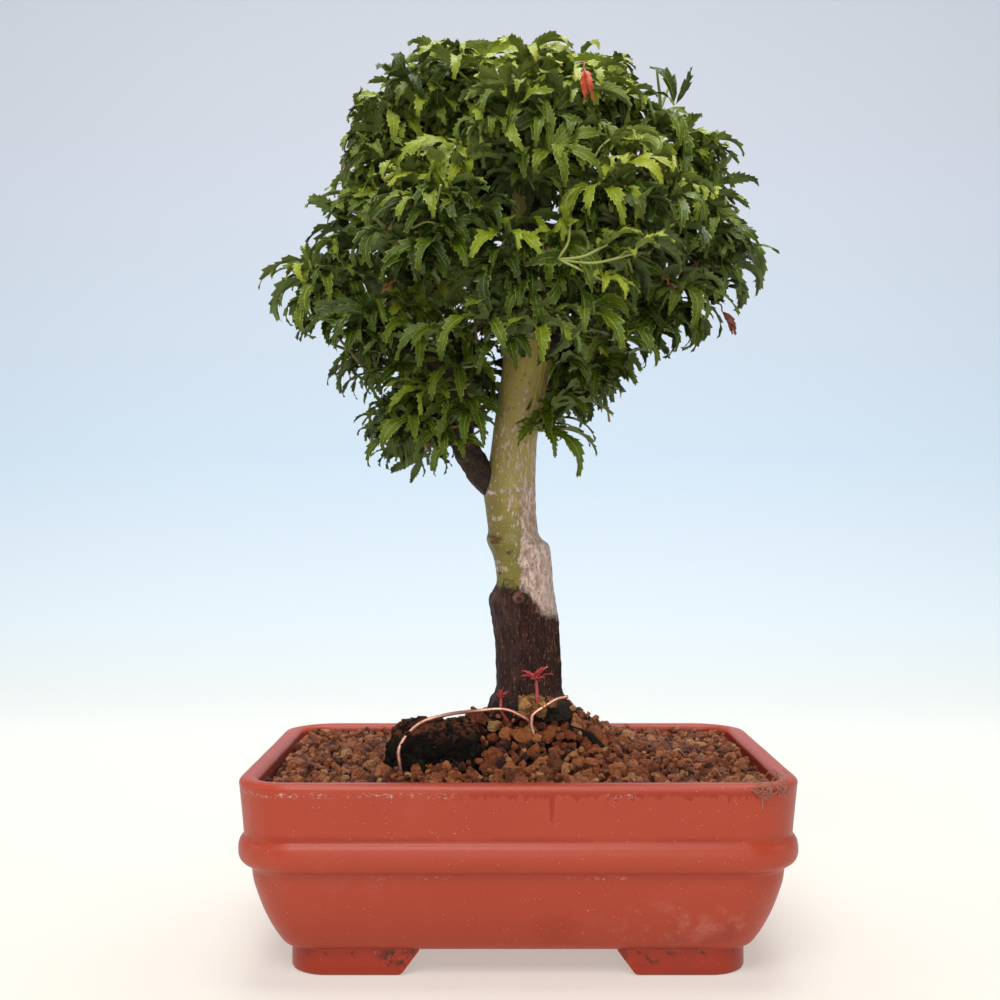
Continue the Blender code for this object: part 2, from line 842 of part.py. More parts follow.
def leaflet(start, end, half_width, half_thick):
    """A small pointed blade from its stalk to its tip."""
    along = end - start
    side = along.cross(Vector((0, 1, 0))).normalized() * half_width
    thick = along.cross(side).normalized() * half_thick
    outline = [start, start + along * 0.45 + side, end, start + along * 0.45 - side]
    bm = bmesh.new()
    skin(bm, [[point - thick for point in outline], [point + thick for point in outline]])
    return bm


def build_shoots(trunk_room, root_room):
    finish = material("young red shoots", (0.50, 0.07, 0.06), 0.45)
    for name, path in shoot_paths().items():
        shoot = add_object(name, tube(path, sides=7, steps=3), finish)
        end = Vector(path[-1][:3])
        for number, turn in enumerate((-78, -8, 64)):
            angle = math.radians(turn)
            reach = Vector((math.sin(angle), 0.12 * number - 0.2, math.cos(angle)))
            reach *= shoot_leaf_length
            start = end - reach * (0.10 + 0.03 * number)
            half_thick = shoot_leaf_half_thick * (1 + number / 4)
            bm = leaflet(start, end + reach, shoot_leaf_half_width, half_thick)
            boolean(shoot, add_cutter(f"{name} blade {number}", bm), "UNION")
        for room in (trunk_room, *root_room):
            boolean(shoot, room)


def build_tie_wire():
    finish = material("copper coated wire", (0.50, 0.22, 0.12), 0.35, 1.0)
    return add_object("tie_wire", tube(wire_stations(), sides=7, steps=2), finish)


def main():
    clear_scene()
    build_pot()
    for word, side in (("left", -1), ("right", 1)):
        build_drain_mesh(f"drain_mesh_{word}", side)
        build_clip(f"mesh_clip_{word}", side)
    trunk_room, *root_room = wood_room(wood_gap, "wide")
    build_trunk()
    build_ground(trunk_room, root_room)
    build_branches(trunk_room)
    build_leaves(trunk_room)
    build_shoots(trunk_room, root_room)
    build_tie_wire()


main()
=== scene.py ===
import math

import bmesh
import bpy
import numpy as np
from mathutils import Matrix, Quaternion, Vector, noise
from mathutils.bvhtree import BVHTree


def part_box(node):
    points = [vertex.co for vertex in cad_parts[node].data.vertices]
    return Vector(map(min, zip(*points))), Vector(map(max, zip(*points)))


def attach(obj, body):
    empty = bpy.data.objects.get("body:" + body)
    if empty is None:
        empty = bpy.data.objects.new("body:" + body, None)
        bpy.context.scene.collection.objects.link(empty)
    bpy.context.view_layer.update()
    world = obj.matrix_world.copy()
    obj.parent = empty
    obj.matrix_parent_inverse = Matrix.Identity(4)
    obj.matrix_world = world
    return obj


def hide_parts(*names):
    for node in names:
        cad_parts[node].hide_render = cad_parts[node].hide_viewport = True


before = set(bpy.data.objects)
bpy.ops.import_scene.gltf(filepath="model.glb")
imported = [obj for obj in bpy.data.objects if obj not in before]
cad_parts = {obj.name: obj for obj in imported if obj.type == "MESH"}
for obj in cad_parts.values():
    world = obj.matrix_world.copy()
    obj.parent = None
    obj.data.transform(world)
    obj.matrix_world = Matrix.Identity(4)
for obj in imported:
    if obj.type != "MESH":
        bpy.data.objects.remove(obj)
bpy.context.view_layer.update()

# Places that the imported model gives
potLow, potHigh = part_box("pot")
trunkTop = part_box("trunk")[1].z
ballLow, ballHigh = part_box("old_root_ball")
leafNodes = sorted(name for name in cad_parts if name.startswith("leaves_"))
crownLow = Vector([min(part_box(name)[0][axis] for name in leafNodes) for axis in range(3)])
crownHigh = Vector([max(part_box(name)[1][axis] for name in leafNodes) for axis in range(3)])
rimHeight = potHigh.z
soilLevel = rimHeight - 0.007  # at the walls
ground = trunkTop - 0.316  # top of the mound, at the trunk's foot


# Shader building: Wire is one output, and sums on it add Math nodes


class Wire:
    def __init__(self, paint, socket):
        self.paint = paint
        self.socket = socket

    def sum(self, operation, first, second):
        return self.paint.node("ShaderNodeMath", {"operation": operation}, {0: first, 1: second})

    def __add__(self, other):
        return self.sum("ADD", self, other)

    def __radd__(self, other):
        return self.sum("ADD", other, self)

    def __sub__(self, other):
        return self.sum("SUBTRACT", self, other)

    def __rsub__(self, other):
        return self.sum("SUBTRACT", other, self)

    def __mul__(self, other):
        return self.sum("MULTIPLY", self, other)

    def __rmul__(self, other):
        return self.sum("MULTIPLY", other, self)

    def __truediv__(self, other):
        return self.sum("DIVIDE", self, other)

    def __rtruediv__(self, other):
        return self.sum("DIVIDE", other, self)

    def __abs__(self):
        return self.paint.node("ShaderNodeMath", {"operation": "ABSOLUTE"}, {0: self})

    def lower(self, other):
        return self.sum("MINIMUM", self, other)

    def higher(self, other):
        return self.sum("MAXIMUM", self, other)

    def step(self, start, end):
        # 0 below start, 1 above end and smooth between; the other way round when start is above end
        flip = start > end
        low, high = (end, start) if flip else (start, end)
        return self.paint.node(
            "ShaderNodeMapRange",
            {"interpolation_type": "SMOOTHSTEP"},
            {0: self, 1: low, 2: high, 3: float(flip), 4: float(not flip)},
        )

    def band(self, low, high, soft):
        return self.step(low - soft, low + soft) * self.step(high + soft, high - soft)


class Paint:
    # one material round a Principled shader, whose constant values are set on its own sockets
    def __init__(self, name, **sockets):
        self.material = bpy.data.materials.new(name)
        self.material.use_nodes = True
        self.tree = self.material.node_tree
        self.shader = self.tree.nodes["Principled BSDF"]
        for socket, value in sockets.items():
            self.set(socket.replace("_", " "), value)

    def set(self, socket, value):
        self.put(self.shader.inputs[socket], value)

    def put(self, target, value):
        if isinstance(value, Wire):
            self.tree.links.new(value.socket, target)
        elif isinstance(value, tuple) and target.type == "RGBA" and len(value) == 3:
            target.default_value = (*value, 1.0)
        else:
            target.default_value = value

    def node(self, kind, settings=None, sockets=None, output=0):
        made = self.tree.nodes.new(kind)
        for name, value in (settings or {}).items():
            if name == "stops":
                ramp = made.color_ramp
                while len(ramp.elements) < len(value):
                    ramp.elements.new(0.5)
                for element, (place, colour) in zip(ramp.elements, value):
                    element.position = place
                    element.color = (*colour, 1.0)
            else:
                setattr(made, name, value)
        for name, value in (sockets or {}).items():
            self.put(made.inputs[name], value)
        return Wire(self, made.outputs[output])

    def place(self):
        return self.node("ShaderNodeTexCoord", output="Object")

    def axes(self):
        split = self.node("ShaderNodeSeparateXYZ", sockets={0: self.place()})
        return [Wire(self, part) for part in split.socket.node.outputs]

    def vector(self, x, y, z):
        return self.node("ShaderNodeCombineXYZ", sockets={0: x, 1: y, 2: z})

    def stretched(self, x, y, z):
        sockets = {0: self.place(), 1: (x, y, z)}
        return self.node("ShaderNodeVectorMath", {"operation": "MULTIPLY"}, sockets)

    def noise(self, scale, detail=3.0, roughness=0.55, vector=None):
        sockets = {"Scale": scale, "Detail": detail, "Roughness": roughness}
        return self.node("ShaderNodeTexNoise", sockets={"Vector": vector or self.place(), **sockets})

    def cells(self, scale, vector=None):
        return self.node("ShaderNodeTexVoronoi", sockets={"Vector": vector or self.place(), "Scale": scale})

    def value(self, name):
        return self.node("ShaderNodeAttribute", {"attribute_name": name}, output=2)

    def mix(self, share, first, second):
        return self.node("ShaderNodeMix", {"data_type": "RGBA"}, {0: share, 6: first, 7: second}, 2)

    def ramp(self, value, stops):
        return self.node("ShaderNodeValToRGB", {"stops": stops}, {0: value})

    def bump(self, height, depth):
        self.set("Normal", self.node("ShaderNodeBump", sockets={"Height": height, "Distance": depth}))


# Mesh building: a Heap gathers many small shapes into one piece


class Heap:
    def __init__(self):
        self.points = []
        self.faces = {3: [], 4: []}
        self.pointValues = {}
        self.faceValues = {3: {}, 4: {}}
        self.count = 0

    def add(self, points, quads=None, triangles=None, pointValues=None, faceValues=None):
        points = np.asarray(points, float).reshape(-1, 3)
        for size, found in ((4, quads), (3, triangles)):
            if found is None or not len(found):
                continue
            found = np.asarray(found, np.int64).reshape(-1, size)
            self.faces[size].append(found + self.count)
            for name, value in (faceValues or {}).items():
                if isinstance(value, dict):
                    value = value[size]
                row = np.broadcast_to(np.asarray(value, float), (len(found),))
                self.faceValues[size].setdefault(name, []).append(row)
        for name, value in (pointValues or {}).items():
            row = np.broadcast_to(np.asarray(value, float), (len(points),))
            self.pointValues.setdefault(name, []).append(row)
        self.points.append(points)
        self.count += len(points)

    def piece(self, name, finish, slot, sharp=60, standsFor=()):
        mesh = bpy.data.meshes.new(name)
        points = np.concatenate(self.points)
        blocks = {size: np.concatenate(rows) for size, rows in self.faces.items() if rows}
        corners = np.concatenate([block.ravel() for block in blocks.values()])
        starts = []
        at = 0
        for size, block in blocks.items():
            starts.append(at + np.arange(len(block)) * size)
            at += block.size
        mesh.vertices.add(len(points))
        mesh.vertices.foreach_set("co", points.astype(np.float32).ravel())
        mesh.loops.add(len(corners))
        mesh.loops.foreach_set("vertex_index", corners.astype(np.int32))
        starts = np.concatenate(starts).astype(np.int32)
        mesh.polygons.add(len(starts))
        mesh.polygons.foreach_set("loop_start", starts)
        mesh.update(calc_edges=True)
        for key, rows in self.pointValues.items():
            layer = mesh.attributes.new(key, "FLOAT", "POINT")
            layer.data.foreach_set("value", np.concatenate(rows).astype(np.float32))
        for key in {key for size in blocks for key in self.faceValues[size]}:
            layer = mesh.attributes.new(key, "FLOAT", "FACE")
            rows = [np.concatenate(self.faceValues[size][key]) for size in blocks]
            layer.data.foreach_set("value", np.concatenate(rows).astype(np.float32))
        return finished(name, mesh, finish, sharp, standsFor)


def finished(name, mesh, finish, sharp=60, standsFor=()):
    mesh.materials.append(finish.material)
    mesh.shade_smooth()
    mesh.set_sharp_from_angle(angle=math.radians(sharp))
    made = bpy.data.objects.new(name, mesh)
    bpy.context.scene.collection.objects.link(made)
    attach(made, "root")
    if standsFor:
        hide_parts(*standsFor)
    return made


def ringFaces(rings, sides):
    # quads between rings of points, and triangles that close both ends
    base = np.arange(rings - 1)[:, None] * sides + np.arange(sides)[None, :]
    ahead = np.arange(rings - 1)[:, None] * sides + (np.arange(sides)[None, :] + 1) % sides
    quads = np.stack([base, ahead, ahead + sides, base + sides], -1).reshape(-1, 4)
    fan = np.arange(1, sides - 1)
    first = np.stack([np.zeros_like(fan), fan + 1, fan], -1)
    last = (rings - 1) * sides + np.stack([np.zeros_like(fan), fan, fan + 1], -1)
    return quads, np.concatenate([first, last])


def smoothPath(stations, steps):
    # a smooth row of points through the stations, which may carry a radius as a fourth number
    stations = np.asarray(stations, float)
    ends = np.vstack([2 * stations[:1] - stations[1:2], stations, 2 * stations[-1:] - stations[-2:-1]])
    rows = []
    for p0, p1, p2, p3 in zip(ends, ends[1:], ends[2:], ends[3:]):
        t = (np.arange(steps) / steps)[:, None]
        rows.append(
            0.5
            * (
                2 * p1
                + (p2 - p0) * t
                + (2 * p0 - 5 * p1 + 4 * p2 - p3) * t**2
                + (3 * p1 - p0 - 3 * p2 + p3) * t**3
            )
        )
    rows.append(stations[-1:])
    return np.concatenate(rows)


def unit(vectors):
    return vectors / np.maximum(np.linalg.norm(vectors, axis=-1, keepdims=True), 1e-12)


def tubeShape(path, sides, shape=None):
    # rings of points round a path of (x, y, z, radius); shape(ring, angles) multiplies the radius
    middles = path[:, :3]
    along = unit(np.gradient(middles, axis=0))
    across = np.cross(along[0], (0.31, 0.93, 0.2))
    rings = []
    angles = np.arange(sides) / sides * math.tau
    for number, (middle, tangent, row) in enumerate(zip(middles, along, path)):
        across = unit(across - tangent * np.dot(across, tangent))
        other = np.cross(tangent, across)
        radius = row[3] * (shape(number, angles) if shape else np.ones(sides))
        around = np.cos(angles)[:, None] * across + np.sin(angles)[:, None] * other
        rings.append(middle + around * radius[:, None])
    return np.concatenate(rings)


def addTube(heap, stations, sides=8, steps=4, shape=None, **values):
    path = smoothPath(stations, steps)
    points = tubeShape(path, sides, shape)
    quads, caps = ringFaces(len(path), sides)
    heap.add(points, quads, caps, **values)
    return path


def turbulence(points, scale, depth=3, seed=0.0):
    # noise from -1 to 1 at each point
    found = np.empty(len(points))
    shift = Vector((seed, seed * 1.7, seed * 0.6))
    for number, point in enumerate(points):
        found[number] = noise.fractal(Vector(point) * scale + shift, 0.6, 2.0, depth)
    return found


def ballMesh(detail):
    # directions of a round ball's points, and its triangles
    bm = bmesh.new()
    bmesh.ops.create_icosphere(bm, subdivisions=detail, radius=1)
    directions = np.array([vert.co.normalized()[:] for vert in bm.verts])
    faces = np.array([[vert.index for vert in face.verts] for face in bm.faces])
    bm.free()
    return directions, faces


def knobbly(depth, scale, twist, seed):
    # what makes a tube uneven along and round its path
    def shape(ring, angle):
        spots = np.stack([np.cos(angle), np.sin(angle), np.full_like(angle, ring * twist)], -1)
        return 1 + depth * turbulence(spots, scale, 3, seed)

    return shape


def evaluated(name, objects):
    # the final mesh of the first object, after its modifiers; the objects are then removed
    graph = bpy.context.evaluated_depsgraph_get()
    mesh = bpy.data.meshes.new_from_object(objects[0].evaluated_get(graph), depsgraph=graph)
    mesh.name = name
    for found in objects:
        bpy.data.objects.remove(found)
    return mesh


# Camera, lights, floor and backdrop

studio = {
    "cameraPlace": (-0.0086, -0.713, 0.2153),
    "lens": 49.2,
    "shift": 0.0172,
    "keyPower": 30.0,
    "skyStrength": 0.06,
    "skyLook": 0.80,
    "glow": 0.55,
    "paleness": 0.50,
    "floorReach": 3.0,
    "sweepStart": 0.9,
    "sweepRadius": 0.9,
    "lights": (  # name, place, what it points at, size, share of the power, colour
        ("key", (-0.25, -1.20, 1.45), (0, 0, 0.22), 0.9, 0.80, (1, 0.985, 0.965)),
        ("top", (0.05, 0.20, 1.75), (0, 0, 0.3), 1.1, 0.95, (1, 0.99, 0.97)),
        ("front", (0.1, -1.7, 0.35), (0, 0, 0.15), 0.8, 0.22, (1, 0.98, 0.96)),
        ("left", (-1.6, -0.2, 0.6), (0, 0, 0.25), 0.9, 0.14, (0.95, 0.98, 1)),
        ("right", (1.6, -0.2, 0.6), (0, 0, 0.25), 0.9, 0.14, (0.95, 0.98, 1)),
    ),
}


def buildStudio():
    print("studio")
    scene = bpy.context.scene
    scene.view_settings.view_transform = "Standard"
    camera = bpy.data.objects.new("camera", bpy.data.cameras.new("camera"))
    camera.location = studio["cameraPlace"]
    camera.rotation_euler = (math.pi / 2, 0, 0)
    camera.data.lens = studio["lens"]
    camera.data.sensor_width = 36
    camera.data.shift_y = studio["shift"]
    camera.data.clip_start = 0.01
    scene.collection.objects.link(camera)
    scene.camera = camera

    for name, place, aim, size, power, colour in studio["lights"]:
        light = bpy.data.lights.new(name, "AREA")
        light.shape = "SQUARE"
        light.size = size
        light.energy = power * studio["keyPower"]
        light.color = colour
        made = bpy.data.objects.new(name, light)
        made.location = place
        made.rotation_euler = (Vector(aim) - Vector(place)).to_track_quat("-Z", "Y").to_euler()
        scene.collection.objects.link(made)

    world = bpy.data.worlds.new("sky")
    scene.world = world
    world.use_nodes = True
    background = world.node_tree.nodes["Background"]
    background.inputs["Color"].default_value = (0.90, 0.95, 1.0, 1.0)
    # the sky looks pale and hardly lights anything
    rays = world.node_tree.nodes.new("ShaderNodeLightPath")
    strength = world.node_tree.nodes.new("ShaderNodeMapRange")
    strength.inputs["To Min"].default_value = studio["skyStrength"]
    strength.inputs["To Max"].default_value = studio["skyLook"]
    world.node_tree.links.new(rays.outputs["Is Camera Ray"], strength.inputs["Value"])
    world.node_tree.links.new(strength.outputs["Result"], background.inputs["Strength"])

    # the floor runs up into the wall behind in one sweep
    far, start, radius = studio["floorReach"], studio["sweepStart"], studio["sweepRadius"]
    profile = [(-far, 0.0), (start, 0.0)]
    for number in range(1, 17):
        angle = number / 16 * math.pi / 2
        profile.append((start + radius * math.sin(angle), radius * (1 - math.cos(angle))))
    profile.append((start + radius, far))
    widths = np.linspace(-far, far, 25)
    points = [(x, y, z) for y, z in profile for x in widths]
    grid = np.arange(len(points)).reshape(len(profile), len(widths))
    quads = np.stack([grid[:-1, :-1], grid[:-1, 1:], grid[1:, 1:], grid[1:, :-1]], -1)
    paint = Paint("backdrop", Roughness=0.9)
    _, y, z = paint.axes()
    height = z * 0.9 + (y + 0.3).step(0.0, 1.6) * 0.16
    colour = paint.ramp(
        height,
        (
            (0.0, (0.80, 0.735, 0.67)),
            (0.10, (0.84, 0.85, 0.80)),
            (0.22, (0.76, 0.86, 0.92)),
            (0.45, (0.64, 0.77, 0.90)),
            (1.0, (0.66, 0.70, 0.79)),
        ),
    )
    grain = paint.noise(3.0, 2.0)
    colour = paint.mix(grain * 0.03, colour, (1.0, 1.0, 1.0))
    paint.set("Base Color", paint.mix(studio["paleness"], (0.0, 0.0, 0.0), colour))
    # the floor and backdrop also glow: painted light that brightens the shadows under the pot and lights it
    # from below
    paint.set("Emission Color", colour)
    paint.set("Emission Strength", studio["glow"])
    mesh = bpy.data.meshes.new("floor")
    mesh.from_pydata(points, [], quads.reshape(-1, 4).tolist())
    mesh.shade_smooth()
    mesh.materials.append(paint.material)
    floor = bpy.data.objects.new("floor", mesh)
    scene.collection.objects.link(floor)
    floor.location.z = potLow.z


# The pot: one piece of fired clay with a rim, a belt and four corner feet

pot = {
    "corner": 0.028,
    "innerCorner": 0.016,
    "rimWidth": 0.0095,
    "rimRound": 0.003,
    "beltLow": 0.052,
    "beltHigh": 0.0675,
    "beltProud": 0.0004,
    "spread": 1.012,
    "outside": (
        (0.0004, 0.0880), (0.0011, 0.0800), (0.0017, 0.0730), (0.0020, 0.0690), (0.0021, 0.0678),
        (0.0018, 0.0668), (0.0009, 0.0657), (0.0002, 0.0643), (-0.0003, 0.0623), (-0.0004, 0.0600),
        (-0.0002, 0.0576), (0.0005, 0.0557), (0.0017, 0.0542), (0.0034, 0.0530), (0.0047, 0.0521),
        (0.0055, 0.0509), (0.0058, 0.0495), (0.0060, 0.0475), (0.0067, 0.0436), (0.0085, 0.0377),
        (0.0106, 0.0317), (0.0132, 0.0258), (0.0152, 0.0220), (0.0172, 0.0186), (0.0190, 0.0160),
        (0.0206, 0.0142), (0.0224, 0.0130), (0.0245, 0.0123), (0.0270, 0.0120),
    ),
    "inside": ((0.0125, 0.052), (0.0240, 0.0275), (0.0292, 0.0210)),
    "floor": 0.009,
    "footHeight": 0.012,
    "footInset": 0.023,
    "footWidth": 0.014,
    "footWear": ((0, 0.0016), (0.0005, 0.0006), (0.0016, 0.0), (0.006, 0.0)),  # height, inset
    "footLengths": (0.062, 0.046),
    "footSlant": 0.009,
    "cornerSteps": 14,
    "sideSteps": 20,
    "drainHole": 0.021,
    "drainSpacing": 0.124,
    "wireHole": 0.006,
    "wireHoles": ((-0.052, -0.020), (0.030, -0.034)),
    "unevenness": 0.00035,
}


def roundedOutline(length, depth, corner, height):
    # counterclockwise from the right side's far end: each corner's arc, then the side after it
    corners = ((1, 1), (-1, 1), (-1, -1), (1, -1))
    halves = np.array((length / 2 - corner, depth / 2 - corner))
    found = []
    for number, sides in enumerate(corners):
        turn = number * math.pi / 2
        for step in range(pot["cornerSteps"] + 1):
            angle = turn + step / pot["cornerSteps"] * math.pi / 2
            found.append(sides * halves + corner * np.array((math.cos(angle), math.sin(angle))))
        turn += math.pi / 2
        first = found[-1]
        last = corners[(number + 1) % 4] * halves + corner * np.array((math.cos(turn), math.sin(turn)))
        for step in range(1, pot["sideSteps"]):
            found.append(first + (last - first) * step / pot["sideSteps"])
    return np.array([(x, y, height) for x, y in found])


def arcPoints(centre, radius, firstDegrees, lastDegrees, steps):
    angles = np.radians(np.linspace(firstDegrees, lastDegrees, steps + 1))
    return [(centre[0] + radius * math.cos(a), centre[1] + radius * math.sin(a)) for a in angles]


def potSection():
    # (inset from the rim's outside, height): down the outside, along the underside, and up the inside
    rim = rimHeight
    middle = (pot["rimRound"], rim - pot["rimRound"])
    out = arcPoints(middle, pot["rimRound"], 90, 172, 8)
    out += [tuple(place) for place in smoothPath(pot["outside"], 3)]
    inner = [(pot["rimWidth"] - pot["rimRound"], rim)]
    inner += arcPoints((pot["rimWidth"] - pot["rimRound"], middle[1]), pot["rimRound"], 75, 0, 6)
    inner += pot["inside"]
    return out, inner


def footPoints(sideX, sideY, length, depth):
    # rings up one corner foot: an L in plan, with slanted ends and worn lower edges
    rings = []
    top = pot["footHeight"]
    corner = pot["corner"] - 0.010
    for height, inset in (*pot["footWear"], (top, 0.0), (top + 0.002, 0)):
        slant = pot["footSlant"] * (1 - min(height / top, 1))
        halfX, halfY = length / 2 - inset, depth / 2 - inset
        endX = length / 2 - pot["footLengths"][0] + slant + inset
        endY = depth / 2 - pot["footLengths"][1] + slant + inset
        outer = [(endX, halfY)]
        radius = corner - inset
        outer += arcPoints((halfX - radius, halfY - radius), radius, 90, 0, 10)
        outer.append((halfX, endY))
        width = pot["footWidth"] - 2 * inset
        innerRadius = max(radius - width, 0.003)
        inner = [(halfX - width, endY)]
        inner += arcPoints(
            (halfX - width - innerRadius, halfY - width - innerRadius), innerRadius, 0, 90, 10
        )
        inner.append((endX, halfY - width))
        outline = outer + inner
        if sideX * sideY < 0:
            outline = outline[::-1]
        rings.append([(sideX * x, sideY * y, height) for x, y in reversed(outline)])
    return np.array(rings)


def clayFinish():
    paint = Paint("potClay", IOR=1.42)
    x, y, z = paint.axes()
    broad = paint.noise(14, 3, 0.6)
    fine = paint.noise(900, 2, 0.6)
    ends = paint.noise(1.0, 3, 0.65, paint.vector(x * 130, y * 130, z * 9))
    drip = paint.noise(1.0, 2, 0.5, paint.vector(x * 330, y * 330, 0.0))
    colour = paint.mix(broad, (0.342, 0.037, 0.013), (0.402, 0.051, 0.020))
    # pale dusty patches on the left, and a rougher bloom low on the right
    dust = paint.noise(26, 4, 0.7).step(0.50, 0.72) * x.step(0.02, -0.12)
    colour = paint.mix(dust * 0.22, colour, (0.46, 0.13, 0.095))
    bloom = paint.noise(60, 5, 0.75).step(0.47, 0.66) * x.step(0.02, 0.07) * z.band(0.020, 0.036, 0.012)
    colour = paint.mix(bloom * 0.30, colour, (0.62, 0.26, 0.21))
    # water under the rim on the right, with runs of uneven length, and above the belt
    reach = 0.0012 + drip.step(0.40, 0.80) * 0.0040 + ends.step(0.4, 0.8) * 0.0015
    longRun = abs(x - 0.0152 + (rimHeight - z) * 0.03).step(0.0014, 0.0004) * y.step(-0.08, -0.09) * 0.012
    depth = rimHeight - 0.0030 - z
    wet = (depth - reach - longRun).step(0.0010, -0.0004) * depth.step(-0.0012, 0.0006)
    wet = wet * (x + (broad - 0.5) * 0.10).step(-0.045, -0.020)
    aboveBelt = z.band(pot["beltHigh"] - 0.0004, pot["beltHigh"] + 0.0024, 0.0009)
    aboveBelt = aboveBelt * (0.35 + paint.noise(20, 2).step(0.42, 0.58) * 0.65)
    lowWet = paint.noise(34, 3, 0.6).step(0.55, 0.70) * z.step(0.045, 0.030) * z.step(0.012, 0.018)
    feet = z.step(0.0128, 0.0110)
    damp = (wet * 0.95).higher(aboveBelt * 0.6).higher(lowWet * 0.35).higher(feet * 0.80)
    colour = paint.mix(damp, colour, (0.298, 0.021, 0.003))
    stain = paint.noise(45, 4, 0.7).step(0.50, 0.62) * z.step(0.040, 0.024) * x.step(0.045, 0.085)
    colour = paint.mix(stain * 0.45, colour, (0.20, 0.022, 0.012))
    # painted shade in the feet's upper edges, where they meet the pot's underside, and at their inner ends
    # under the pot
    footShade = paint.noise(150, 4, 0.75).step(0.54, 0.66) * z.band(0.0096, 0.0132, 0.0015)
    inner = abs(x).step(0.072, 0.060) * z.band(0.005, 0.0125, 0.002)
    inner = inner * paint.noise(200, 4, 0.75).step(0.50, 0.62)
    colour = paint.mix((footShade * 0.8).higher(inner * 0.9), colour, (0.030, 0.010, 0.007))
    specks = paint.cells(620).step(0.20, 0.12) * paint.noise(240, 2).step(0.56, 0.66)
    colour = paint.mix(specks * 0.38, colour, (0.80, 0.50, 0.43))
    darkSpecks = paint.cells(420).step(0.16, 0.08) * paint.noise(110, 3).step(0.56, 0.66)
    darkSpecks = darkSpecks * z.step(0.050, 0.030) * x.step(-0.02, 0.05)
    colour = paint.mix(darkSpecks * 0.8, colour, (0.06, 0.012, 0.008))
    # dried minerals in a broken line under the rim and in the crease under the belt
    dashes = paint.noise(1.0, 4, 0.8, paint.vector(x * 420, y * 420, z * 800))
    worn = paint.noise(1.0, 1, 0.5, paint.vector(x * 60, y * 60, 4.0)).step(0.36, 0.46)
    stretches = (x.step(-0.026, -0.034) * worn).higher(x.band(0.040, 0.057, 0.002))
    line = z.band(rimHeight - 0.0060, rimHeight - 0.0038, 0.0008) * dashes.step(0.53, 0.64) * stretches
    crease = z.band(pot["beltLow"] - 0.0022, pot["beltLow"] - 0.0004, 0.0005) * dashes.step(0.55, 0.64)
    crease = crease * paint.noise(1.0, 1, 0.5, paint.vector(x * 30, y * 30, 9.0)).step(0.56, 0.64)
    colour = paint.mix((line * 0.80).higher(crease * 0.6), colour, (0.66, 0.47, 0.43))
    seam = abs(y - 0.001).step(0.0007, 0.0002) * z.step(rimHeight - 0.004, rimHeight - 0.001)
    colour = paint.mix(seam * 0.35, colour, (0.36, 0.10, 0.07))
    paint.set("Base Color", colour)
    rough = 0.33 + broad * 0.10 + fine * 0.06 - damp * 0.10 + bloom * 0.18 + (line + crease) * 0.3
    paint.set("Roughness", rough.lower(0.9))
    height = fine * 0.25 + paint.noise(120, 3, 0.6) * 0.8 + broad * 2.0
    height = height - specks * 0.6 - seam * 1.2 + line * 0.6
    paint.bump(height, 0.00022)
    return paint


def buildPot():
    print("pot")
    length = (potHigh.x - potLow.x) * pot["spread"]
    depth = potHigh.y - potLow.y
    length -= 2 * pot["beltProud"]
    depth -= 2 * pot["beltProud"]
    outside, inside = potSection()
    rings = []
    for inset, height in reversed(outside):
        corner = max(pot["corner"] - inset * 0.7, 0.010)
        rings.append(roundedOutline(length - 2 * inset, depth - 2 * inset, corner, height))
    for inset, height in inside:
        corner = max(pot["innerCorner"] - (inset - pot["rimWidth"]) * 0.5, 0.006)
        rings.append(roundedOutline(length - 2 * inset, depth - 2 * inset, corner, height))
    sides = len(rings[0])
    points = np.concatenate(rings)
    # a little of the mould's unevenness, in and out
    away = unit(points * (1, 1, 0))
    sway = turbulence(points, 16, 2, 3.0) * pot["unevenness"]
    points = points - away * (np.abs(sway) * (points[:, 2] > pot["footHeight"] + 0.004))[:, None]
    quads, _ = ringFaces(len(rings), sides)
    shell = bpy.data.meshes.new("pot")
    last = (len(rings) - 1) * sides
    ends = [list(range(sides))[::-1], list(range(last, last + sides))]
    shell.from_pydata(points.tolist(), [], quads.tolist() + ends)
    body = bpy.data.objects.new("potShell", shell)
    bpy.context.scene.collection.objects.link(body)
    helpers = [body]
    holes = [((side * pot["drainSpacing"] / 2, 0), pot["drainHole"]) for side in (-1, 1)]
    holes += [(place, pot["wireHole"]) for place in pot["wireHoles"]]
    for (placeX, placeY), size in holes:
        bm = bmesh.new()
        bmesh.ops.create_cone(
            bm,
            cap_ends=True,
            segments=48,
            radius1=size / 2,
            radius2=size / 2,
            depth=0.03,
            matrix=Matrix.Translation((placeX, placeY, pot["footHeight"] + pot["floor"] / 2)),
        )
        mesh = bpy.data.meshes.new("hole")
        bm.to_mesh(mesh)
        bm.free()
        cutter = bpy.data.objects.new("hole", mesh)
        bpy.context.scene.collection.objects.link(cutter)
        helpers.append(cutter)
        step = body.modifiers.new("hole", "BOOLEAN")
        step.object = cutter
        step.operation = "DIFFERENCE"
        step.solver = "EXACT"
    bpy.context.view_layer.update()
    mesh = evaluated("pot", helpers)
    bm = bmesh.new()
    bm.from_mesh(mesh)
    footLength = length - 2 * pot["footInset"]
    footDepth = depth - 2 * pot["footInset"]
    for sideX in (-1, 1):
        for sideY in (-1, 1):
            levels = footPoints(sideX, sideY, footLength, footDepth)
            loops = [[bm.verts.new(p) for p in ring] for ring in levels]
            count = len(loops[0])
            made = []
            for low, high in zip(loops, loops[1:]):
                for i in range(count):
                    ahead = (i + 1) % count
                    made.append(bm.faces.new((low[i], low[ahead], high[ahead], high[i])))
            made.append(bm.faces.new(loops[0][::-1]))
            made.append(bm.faces.new(loops[-1]))
            bmesh.ops.recalc_face_normals(bm, faces=made)
    bmesh.ops.triangulate(bm, faces=[face for face in bm.faces if len(face.verts) > 4])
    bm.to_mesh(mesh)
    bm.free()
    finished("pot_body", mesh, clayFinish(), 35, ["pot"])


# Soil: hard clay grains over the bed, in two sizes

